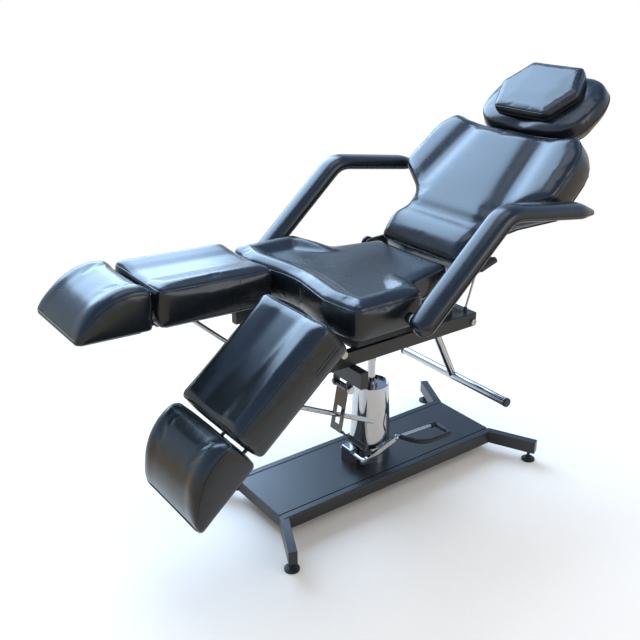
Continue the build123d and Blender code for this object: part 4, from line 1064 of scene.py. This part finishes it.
@dataclass
class SeatCushion:
    """Seat with a raised roll along its front and wings, lower towards its rear."""

    bottom: float = 0.642
    front_seam: float = 0.725
    rear_seam: float = 0.711
    roll: float = 0.018
    rear_level: float = 0.7195
    roll_reach: float = 0.028
    roll_start: float = 0.036
    roll_end: float = 0.090
    wing_end: float = -0.100
    rear_start: float = -0.010
    rear_round: float = 0.024
    dip_depth: float = 0.005
    dip_width: float = 0.06
    half: Sequence[Point2] = (
        (0.0, -0.284),
        (0.034, -0.285),
        (0.180, -0.312),
        (0.300, -0.298),
        (0.300, -0.085),
        (0.193, -0.018),
        (0.167, 0.075),
        (0.150, 0.149),
    )
    radii: Sequence[float] = (0.03, 0.05, 0.09, 0.024, 0.024, 0.05, 0.09, 0.018)

    def _rear_share(self, y: Array) -> Array:
        """0 at the wings, 1 at the rear."""
        return ease(y, self.wing_end, self.rear_start)

    def _seam(self, x: Array, y: Array) -> Array:
        """Level of the seam round the top."""
        return self.front_seam - (self.front_seam - self.rear_seam) * self._rear_share(y)

    def _top(self, x: Array, y: Array, depth: Array) -> Array:
        """Level of the top: a roll at the front and wings, a flat rear."""
        rear = self._rear_share(y)
        crest = self.front_seam + self.roll * shoulder(depth, self.roll_reach)
        crest = crest - self.dip_depth * bell(x, 0.0, self.dip_width) * ease(depth, 0.0, 0.02)
        inner = crest + (self.rear_level - crest) * ease(depth, self.roll_start, self.roll_end)
        flat = self.rear_seam + (self.rear_level - self.rear_seam) * shoulder(depth, self.rear_round)
        return inner * (1 - rear) + flat * rear

    def build(self, finishes: Finishes) -> None:
        """Makes the seat cushion."""
        Cushion(
            name="seat_cushion_cover",
            node="seat_cushion",
            body="seat",
            outline=mirrored(self.half, self.radii),
            bottom=self.bottom,
            seam=self._seam,
            top=self._top,
            place=level_place(),
            upright_seams=(self.half[3], self.half[5], self.half[7], (-0.300, -0.298), (-0.150, 0.149)),
            level_seams=((0.30, (0.168, 0.070), (0.151, 0.145)),),
        ).build(finishes)


@dataclass
class BackCushion:
    """Back rest with a lower back roll, a waist and two raised wings."""

    origin: Sequence[float] = (0.0, 0.157, 0.731)
    slope: float = 39.95
    thickness: float = 0.098
    seam_level: float = -0.017
    edge_round: float = 0.030
    lumbar_rise: float = 0.014
    lumbar_middle: float = 0.060
    lumbar_width: float = 0.052
    crease_place: float = 0.134
    crease_depth: float = 0.007
    crease_width: float = 0.024
    belly_rise: float = 0.003
    belly_half: float = 0.15
    valley_low: Point2 = (0.178, 0.208)
    valley_high: Point2 = (0.140, 0.488)
    valley_depth: float = 0.0095
    valley_width: float = 0.040
    wing_rise: float = 0.004
    half: Sequence[Point2] = (
        (0.0, 0.0),
        (0.164, 0.0),
        (0.177, 0.081),
        (0.166, 0.124),
        (0.163, 0.175),
        (0.195, 0.208),
        (0.293, 0.274),
        (0.306, 0.299),
        (0.297, 0.418),
        (0.287, 0.460),
        (0.248, 0.510),
        (0.201, 0.499),
        (0.089, 0.488),
        (0.0, 0.4877),
    )
    radii: Sequence[float] = (
        *(0.0, 0.012, 0.07, 0.05, 0.04, 0.07, 0.05),
        *(0.05, 0.09, 0.07, 0.035, 0.03, 0.2, 0.0),
    )
    seam_corners: Sequence[int] = (1, 6, 10)

    def _top(self, x: Array, v: Array, depth: Array) -> Array:
        """Height of the front face out of the back rest's plane."""
        reach = np.abs(x)
        share = np.clip((v - self.valley_low[1]) / (self.valley_high[1] - self.valley_low[1]), -0.2, 1.1)
        valley = self.valley_low[0] + (self.valley_high[0] - self.valley_low[0]) * share
        beyond = reach - valley
        upper = ease(v, 0.15, 0.23)
        form = -self.valley_depth * bell(beyond, 0.0, self.valley_width) * upper
        form = form + self.wing_rise * ease(beyond, 0.01, 0.075) * upper
        belly = 1 - np.clip(reach / self.belly_half, 0, 1) ** 2
        form = form + self.belly_rise * belly * ease(v, 0.17, 0.3)
        roll = self.lumbar_rise * bell(v, self.lumbar_middle, self.lumbar_width)
        roll = roll - self.crease_depth * bell(v, self.crease_place, self.crease_width)
        form = form + roll * (1 - ease(v, 0.15, 0.19))
        return self.seam_level + (form - self.seam_level) * shoulder(depth, self.edge_round)

    def build(self, finishes: Finishes) -> None:
        """Makes the back cushion."""
        seams = [(turn * self.half[i][0], self.half[i][1]) for i in self.seam_corners for turn in (1, -1)]
        Cushion(
            name="back_cushion_cover",
            node="back_cushion",
            body="back",
            outline=mirrored(self.half, self.radii),
            bottom=-self.thickness,
            seam=lambda x, v: np.full(len(x), self.seam_level),
            top=self._top,
            place=slope_place(self.origin, self.slope),
            upright_seams=seams,
        ).build(finishes)


@dataclass
class HeadCushion:
    """Broad oval head cushion with a raised rim that dips at the front."""

    origin: Sequence[float] = (0.0, 0.557, 1.100)
    slope: float = 35.3
    half_width: float = 0.208
    half_length: float = 0.128
    middle: float = 0.097
    corner: float = 0.108
    seam_level: float = -0.060
    bottom: float = -0.119
    rim_rise: float = 0.0235
    rim_place: float = 0.058
    dish_level: float = -0.046
    dish_slope: float = 0.05
    dip_depth: float = 0.012
    dip_width: float = 0.045

    def _outline(self) -> Outline:
        """Rectangle with very large corners."""
        x, low, high = self.half_width, self.middle - self.half_length, self.middle + self.half_length
        corners = ((x, low), (x, high), (-x, high), (-x, low))
        return Outline(corners, (self.corner * 1.2,) * 4)

    def _top(self, x: Array, s: Array, depth: Array) -> Array:
        """Level of the top: a full rim round a shallow dish."""
        rim = self.seam_level + self.rim_rise * shoulder(depth, self.rim_place)
        inner = rim + (self.dish_level - rim) * ease(depth, self.rim_place, self.rim_place + self.dish_slope)
        front = bell(x, 0.0, self.dip_width) * (1 - ease(s, 0.0, 0.08))
        return inner - self.dip_depth * front * shoulder(depth, 0.03)

    def build(self, finishes: Finishes) -> None:
        """Makes the head cushion."""
        Cushion(
            name="headrest_cushion_cover",
            node="headrest_cushion",
            body="headrest",
            outline=self._outline(),
            bottom=self.bottom,
            seam=lambda x, s: np.full(len(x), self.seam_level),
            top=self._top,
            place=slope_place(self.origin, self.slope),
            bulge=0.004,
            wall=((0.0, -0.020), (0.5, -0.004), (1.0, -0.003)),
            cap=0.002,
            upright_seams=((self.half_width, self.middle - 0.05), (-self.half_width, self.middle - 0.05)),
            edge_cords=(0.55,),
        ).build(finishes)


@dataclass
class HeadPillow:
    """Small six sided pillow with a cord round both its faces."""

    origin: Sequence[float] = (0.0, 0.557, 1.100)
    slope: float = 35.3
    bottom: float = -0.0355
    seam_level: float = -0.007
    crown: float = 0.007
    half: Sequence[Point2] = ((0.102, 0.0), (0.151, 0.108), (0.099, 0.209))
    corner: float = 0.014

    def _top(self, x: Array, s: Array, depth: Array) -> Array:
        """Level of the slightly crowned top."""
        return self.seam_level + self.crown * shoulder(depth, 0.02) + 0.002 * ease(depth, 0.02, 0.08)

    def build(self, finishes: Finishes) -> None:
        """Makes the pillow."""
        Cushion(
            name="head_pillow_cover",
            node="head_pillow",
            body="headrest",
            outline=mirrored(self.half, (self.corner,) * 3, 0.005),
            bottom=self.bottom,
            seam=lambda x, s: np.full(len(x), self.seam_level),
            top=self._top,
            place=slope_place(self.origin, self.slope),
            bulge=0.001,
            voxel=0.0035,
            cap=0.0015,
            grid=0.008,
            edge_cords=(1.0, 0.08),
            cord_radius=0.0016,
        ).build(finishes)


@dataclass
class LegCushions:
    """Calf and foot cushions of one leg rest."""

    side: Side
    tilt: float
    middle_x: float = 0.184
    half_width: float = 0.140
    bottom: float = 0.642
    seam_level: float = 0.742
    calf_rear: float = -0.3245
    calf_front: float = -0.667
    crest: float = 0.0135
    valley: float = 0.0015
    foot_rear: float = -0.684
    foot_length: float = 0.2060
    foot_stops: Sequence[float] = (0.0, 0.12, 0.31, 0.51, 0.70, 0.86, 0.95, 1.0)
    foot_falls: Sequence[float] = (0.03, -0.045, -0.06, 0.05, 0.27, 0.54, 0.74, 0.88)
    foot_crown: float = 0.0195
    foot_valley: float = 0.0125
    corner: float = 0.014
    play: float = 0.0005
    calf_round: float = 0.030
    foot_round: float = 0.034

    def _outline(self, rear: float, front: float) -> Outline:
        """Rectangle of a leg cushion."""
        half = self.half_width - self.play
        low, high = self.middle_x - half, self.middle_x + half
        corners = ((low, front), (high, front), (high, rear), (low, rear))
        return Outline(corners, (self.corner,) * 4)

    def _roll(self, x: Array, crest: float, valley: float) -> Array:
        """Height over the seam across the cushion: a roll at each side, a valley between."""
        reach = np.abs(x - self.middle_x) / self.half_width
        inner = crest * 0.72
        rise = valley + (inner - valley) * ease(reach, 0.22, 0.62)
        return rise + (crest - inner) * ease(reach, 0.55, 0.80)

    def _calf_top(self, x: Array, y: Array, depth: Array) -> Array:
        """Level of the calf cushion's top."""
        return self.seam_level + self._roll(x, self.crest, self.valley) * shoulder(depth, self.calf_round)

    def _foot_seam(self, x: Array, y: Array) -> Array:
        """Level of the foot cushion's seam, falling to its nose."""
        along = (self.foot_rear - y) / self.foot_length
        stops = np.linspace(0.0, 1.0, 41)
        down = evened(np.interp(stops, self.foot_stops, self.foot_falls))
        return self.seam_level - 0.1 * np.interp(along, stops, down)

    def _foot_top(self, x: Array, y: Array, depth: Array) -> Array:
        """Level of the foot cushion's top."""
        along = (self.foot_rear - y) / self.foot_length
        rise = self._roll(x, self.foot_crown, self.foot_valley) * (1 - 0.35 * ease(along, 0.6, 1.0))
        return self._foot_seam(x, y) + rise * shoulder(depth, self.foot_round)

    def build(self, finishes: Finishes) -> None:
        """Makes both cushions."""
        word = self.side.word
        place = leg_place(self.side, self.tilt)
        zip_x = self.middle_x + self.side.value * self.half_width
        rear, seam = (zip_x, self.calf_rear - 0.004), (zip_x, self.calf_rear - 0.105)
        start, end = (seam, rear) if self.side is Side.LEFT else (rear, seam)
        Cushion(
            name=f"calf_cushion_cover_{word}",
            node=f"calf_cushion_{word}",
            body=f"calf_{word}",
            outline=self._outline(self.calf_rear, self.calf_front),
            bottom=self.bottom,
            seam=lambda x, y: np.full(len(x), self.seam_level),
            top=self._calf_top,
            place=place,
            upright_seams=(seam, (self.middle_x - self.side.value * self.half_width, -0.44)),
            level_seams=((0.36, start, end), (0.46, start, end)),
        ).build(finishes)
        Cushion(
            name=f"foot_cushion_cover_{word}",
            node=f"foot_cushion_{word}",
            body=f"footrest_{word}",
            outline=self._outline(self.foot_rear, self.foot_rear - self.foot_length),
            bottom=self.bottom,
            seam=self._foot_seam,
            top=self._foot_top,
            place=place,
            bulge=0.0015,
        ).build(finishes)


@dataclass
class ArmPad:
    """Long bent arm pad: foam and cover wrapped round a board, drawn in to a blunt rear tip."""

    side: Side
    middle_x: float = 0.366
    half_width: float = 0.038
    floor: float = -0.0134
    seam: float = -0.003
    rise: float = 0.0292
    low_round: float = 0.004
    bend_radius: float = 0.075
    path: Sequence[Point2] = ((-0.1605, 0.658), (0.131, 0.918), (0.424, 0.877), (0.492, 0.865))
    taper_start: float = 0.398
    tip_half_width: float = 0.011
    tip_rise_share: float = 0.34
    end_reach: float = 0.026
    nose_reach: float = 0.012
    tip_reach: float = 0.012
    tip_rise_start: float = 0.40
    tip_rise_end: float = 0.50
    step: float = 0.006
    sides: int = 28
    voxel: float = 0.0034
    cord_radius: float = 0.0016
    fill: float = 0.85

    def _centre_line(self) -> tuple[Array, Array]:
        """Points of the centre line and their directions in the side view."""
        spots = np.array(self.path)
        before, after = unit(spots[0] - spots[1]), unit(spots[2] - spots[1])
        reach = self.bend_radius / math.tan(math.acos(float(np.dot(before, after))) / 2)
        curve = bend(spots[1] + before * reach, spots[1], spots[1] + after * reach, 24)
        line = np.vstack([spots[:1], curve, spots[2:]])
        run = run_along(line)
        points = picked(line, run, np.linspace(0, run[-1], int(run[-1] / self.step)))
        way = evened(np.gradient(points, axis=0))
        return points, way / np.linalg.norm(way, axis=1)[:, None]

    @staticmethod
    def _rounding(gap: float, reach: float, least: float) -> float:
        """Share of the full size near a rounded end, at a distance from it."""
        return math.sqrt(max(least, 1 - max(0.0, 1 - gap / reach) ** 2))

    def _sections(self) -> list[Array]:
        """Cross sections along the pad, each a closed ring of points."""
        points, way = self._centre_line()
        run = run_along(points)
        rings = []
        for index, (spot, ahead) in enumerate(zip(points, way)):
            up = np.array([-ahead[1], ahead[0]])
            low_end = self._rounding(run[index], self.end_reach, 0.05)
            low_top = self._rounding(run[index], self.nose_reach, 0.2)
            high_end = self._rounding(run[-1] - run[index], self.tip_reach, 0.03)
            taper = float(ease(spot[0], self.taper_start, self.path[-1][0] + 0.03))
            width = (self.half_width + (self.tip_half_width - self.half_width) * taper) * low_end * high_end
            tip = float(ease(spot[0], self.tip_rise_start, self.tip_rise_end))
            share = 1 + (self.tip_rise_share - 1) * tip
            height = self.rise * share * low_top * high_end
            rings.append(self._ring(spot, up, width, height, self.floor * share))
        return rings

    def _ring(self, spot: Array, up: Array, width: float, height: float, floor: float) -> Array:
        """One section: flat below with rounded edges, upright sides, rounded above."""
        low_round = min(self.low_round, width * 0.4)
        flat = [(width - low_round, floor), (width, floor + low_round)]
        for turn in range(self.sides):
            angle = math.pi * turn / (self.sides - 1)
            across = math.copysign(abs(math.cos(angle)) ** 0.72, math.cos(angle)) * width
            flat.append((across, self.seam + (height - self.seam) * math.sin(angle) ** 0.80))
        flat += [(-width, floor + low_round), (-width + low_round, floor)]
        ring = []
        for across, lift in flat:
            y, z = spot + up * lift
            ring.append((self.middle_x + across, y, z))
        return np.array(ring)

    def build(self, finishes: Finishes) -> None:
        """Makes the arm pad with a cord along its lower edge."""
        rings = self._sections()
        verts = [tuple(p) for ring in rings for p in ring]
        faces = MeshKit.skin(len(rings), len(rings[0]), Ends.CAPPED)
        word = self.side.word
        obj = MeshKit.make(f"armrest_pad_cover_{word}", verts, faces)
        MeshKit.remesh(obj, self.voxel)
        MeshKit.relax(obj, 8)
        place = level_place() @ Matrix.Diagonal((self.side.value, 1.0, 1.0, 1.0))
        MeshKit.put(obj, place)
        rim = [ring[2] for ring in rings] + [ring[-3] for ring in reversed(rings)]
        cord = SewnLine(rim, True, self.cord_radius)
        piece = SewnPiece(obj, f"armrest_pad_{word}", f"armrest_{word}", self.fill, [cord])
        piece.sew(place)
        piece.hang(finishes)
        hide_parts(f"armrest_pad_{word}", f"armrest_board_{word}")


@dataclass
class PedalLoop:
    """Rubber covered loop beside the pedal rod, with the sleeve that holds its rear end."""

    origin: Sequence[float] = (0.076, 0.045, 0.148)
    fall: float = 2.6
    radius: float = 0.0078
    sleeve_radius: float = 0.0092
    sleeve_start: float = 0.146
    sleeve_rings: Sequence[Point2] = ((0.0, 0.80), (0.0015, 1.0), (0.021, 1.0), (0.0225, 0.80))
    path: Sequence[Point2] = ((0.002, 0.014), (0.032, 0.025), (0.072, 0.054), (0.072, 0.166), (0.0, 0.166))
    bends: Sequence[float] = (0.0, 0.024, 0.030, 0.016, 0.0)
    sides: int = 16

    def _line(self) -> Array:
        """Points of the loop's middle, its bends rounded."""
        spots = np.array(self.path)
        points = [spots[0]]
        for index in range(1, len(spots) - 1):
            before, after = unit(spots[index - 1] - spots[index]), unit(spots[index + 1] - spots[index])
            reach = self.bends[index]
            points += bend(spots[index] + before * reach, spots[index], spots[index] + after * reach, 12)
        points.append(spots[-1])
        return np.column_stack([np.array(points), np.zeros(len(points))])

    def build(self, finishes: Finishes) -> None:
        """Makes the loop and its sleeve."""
        verts, faces = MeshKit.tube(self._line(), self.radius, False, self.sides)
        count = len(verts)
        for along, share in self.sleeve_rings:
            reach, level = self.sleeve_radius * share, self.sleeve_start + along
            for turn in range(self.sides):
                angle = 2 * math.pi * turn / self.sides
                verts.append(Vector((math.cos(angle) * reach, level, math.sin(angle) * reach)))
        faces += MeshKit.skin(len(self.sleeve_rings), self.sides, Ends.CAPPED, count)
        obj = MeshKit.make("pedal_loop_rubber", verts, faces)
        MeshKit.put(obj, slope_place(self.origin, -self.fall))
        obj.data.materials.append(finishes.by_slot["black_rubber"])
        for polygon in obj.data.polygons:
            polygon.use_smooth = len(polygon.vertices) == 4
        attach(obj, "pedal")
        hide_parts("pedal_loop")
        LOG.info("piece %s on body pedal", obj.name)


# Room


@dataclass
class Studio:
    """Camera, soft lamps, pale floor and white surroundings."""

    eye: Sequence[float] = (1.8519, -1.5000, 1.5558)
    azimuth: float = 53.86
    fall: float = 23.05
    focal_pixels: float = 876.28
    image_pixels: float = 640.0
    sensor: float = 36.0
    ground: Colour = (0.70, 0.63, 0.52, 1.0)
    horizon: Colour = (0.62, 0.80, 1.0, 1.0)
    sky: Colour = (0.38, 0.60, 1.0, 1.0)
    zenith: Colour = (0.19, 0.33, 0.64, 1.0)
    plain: Colour = (0.98, 0.99, 1.0, 1.0)
    plain_level: float = 0.74
    aim: Sequence[float] = (0.0, 0.0, 0.65)
    floor_half: float = 4.0
    floor_gap: float = 0.0005
    fade_start: float = 0.75
    fade_end: float = 1.7

    @staticmethod
    def _facing(spot: Sequence[float], way: Vector) -> Matrix:
        """Place of a camera or lamp at a spot that looks one way."""
        return Matrix.Translation(spot) @ way.to_track_quat("-Z", "Y").to_matrix().to_4x4()

    def _camera(self) -> None:
        """Camera at the photograph's viewing angle."""
        data = bpy.data.cameras.new("camera")
        data.sensor_fit = "HORIZONTAL"
        data.sensor_width = self.sensor
        data.lens = self.focal_pixels * self.sensor / self.image_pixels
        camera = bpy.data.objects.new("camera", data)
        bpy.context.scene.collection.objects.link(camera)
        turn, fall = math.radians(self.azimuth), math.radians(self.fall)
        ahead = Vector((-math.sin(turn) * math.cos(fall), math.cos(turn) * math.cos(fall), -math.sin(fall)))
        camera.matrix_world = self._facing(self.eye, ahead)
        bpy.context.scene.camera = camera

    def _lamp(
        self, name: str, spot: Sequence[float], size: Point2, power: float, tint: Sequence[float]
    ) -> None:
        """One soft box aimed at the chair."""
        data = bpy.data.lights.new(name, "AREA")
        data.shape = "RECTANGLE"
        data.size, data.size_y = size
        data.energy = power
        data.color = tint
        lamp = bpy.data.objects.new(name, data)
        bpy.context.scene.collection.objects.link(lamp)
        lamp.matrix_world = self._facing(spot, Vector(self.aim) - Vector(spot))

    def _floor(self) -> None:
        """Pale floor that fades into the white surroundings."""
        far = self.floor_half
        corners = [(-far, -far, 0), (far, -far, 0), (far, far, 0), (-far, far, 0)]
        obj = MeshKit.make("floor", corners, [(0, 1, 2, 3)])
        obj.location.z = -self.floor_gap
        shader = Shader("pale_floor")
        reach = {0: shader.place().length(), 1: self.fade_start, 2: self.fade_end}
        fade = shader.add("ShaderNodeMapRange", {"interpolation_type": "SMOOTHSTEP"}, reach)[0]
        grain = shader.noise(60.0, 3.0, 0.6)
        colour = shader.blend(grain, (0.2, grey(0.92, -0.08)), (0.8, grey(0.94, -0.08)))
        matt = shader.add("ShaderNodeBsdfDiffuse", None, {"Color": colour})["BSDF"]
        clear = shader.add("ShaderNodeBsdfTransparent")["BSDF"]
        mixed = shader.add("ShaderNodeMixShader", None, {0: fade, 1: matt, 2: clear})[0]
        obj.data.materials.append(shader.close(mixed))

    @staticmethod
    def _glow(room: Shader, colour: Signal | Colour, strength: float) -> Signal:
        """Light of one colour from all around."""
        return room.add("ShaderNodeBackground", None, {"Color": colour, "Strength": strength})["Background"]

    def _surroundings(self) -> None:
        """White background for the eye, pale sky and warm ground in reflections, plain light for the rest."""
        world = bpy.data.worlds.new("surroundings")
        bpy.context.scene.world = world
        world.use_nodes = True
        room = Shader.on_tree(world.node_tree)
        path = room.add("ShaderNodeLightPath")
        height = room.add("ShaderNodeTexCoord")["Generated"].part("Z")
        bands = (
            (0.0, self.ground),
            (0.47, self.ground),
            (0.52, self.horizon),
            (0.62, self.horizon),
            (0.78, self.sky),
            (1.0, self.zenith),
        )
        either = {0: path["Is Glossy Ray"], 1: path["Is Transmission Ray"]}
        shiny = room.add("ShaderNodeMath", {"operation": "MAXIMUM"}, either)[0]
        plain = self._glow(room, self.plain, self.plain_level)
        shown = self._glow(room, room.ramp(height * 0.5 + 0.5, bands), 1.0)
        white = self._glow(room, (1.0, 1.0, 1.0, 1.0), 1.0)
        lit = room.add("ShaderNodeMixShader", None, {0: shiny, 1: plain, 2: shown})[0]
        seen = room.add("ShaderNodeMixShader", None, {0: path["Is Camera Ray"], 1: lit, 2: white})[0]
        room.add("ShaderNodeOutputWorld", None, {"Surface": seen})

    def build(self) -> None:
        """Sets up the whole room."""
        bpy.context.scene.view_settings.view_transform = "Standard"
        self._camera()
        self._lamp("sky_panel", (-3.45, 0.2, 3.2), (3.6, 4.2), 340.0, (0.50, 0.72, 1.0))
        self._lamp("overhead", (0.2, 0.0, 3.6), (2.0, 2.0), 20.0, (0.95, 0.97, 1.0))
        self._lamp("right", (3.2, 1.2, 1.6), (1.6, 1.6), 16.0, (1.0, 0.95, 0.88))
        self._floor()
        self._surroundings()
        LOG.info("room ready")


def main() -> None:
    """Dresses the chair and sets up the room."""
    logging.basicConfig(level=logging.INFO, format="%(name)s: %(message)s")
    finishes = Finishes()
    finishes.dress_frame()
    SeatCushion().build(finishes)
    BackCushion().build(finishes)
    HeadCushion().build(finishes)
    HeadPillow().build(finishes)
    LegCushions(Side.LEFT, 40.0).build(finishes)
    LegCushions(Side.RIGHT, -2.3).build(finishes)
    for side in Side:
        ArmPad(side).build(finishes)
    PedalLoop().build(finishes)
    Studio().build()


if __name__ == "__main__":
    main()
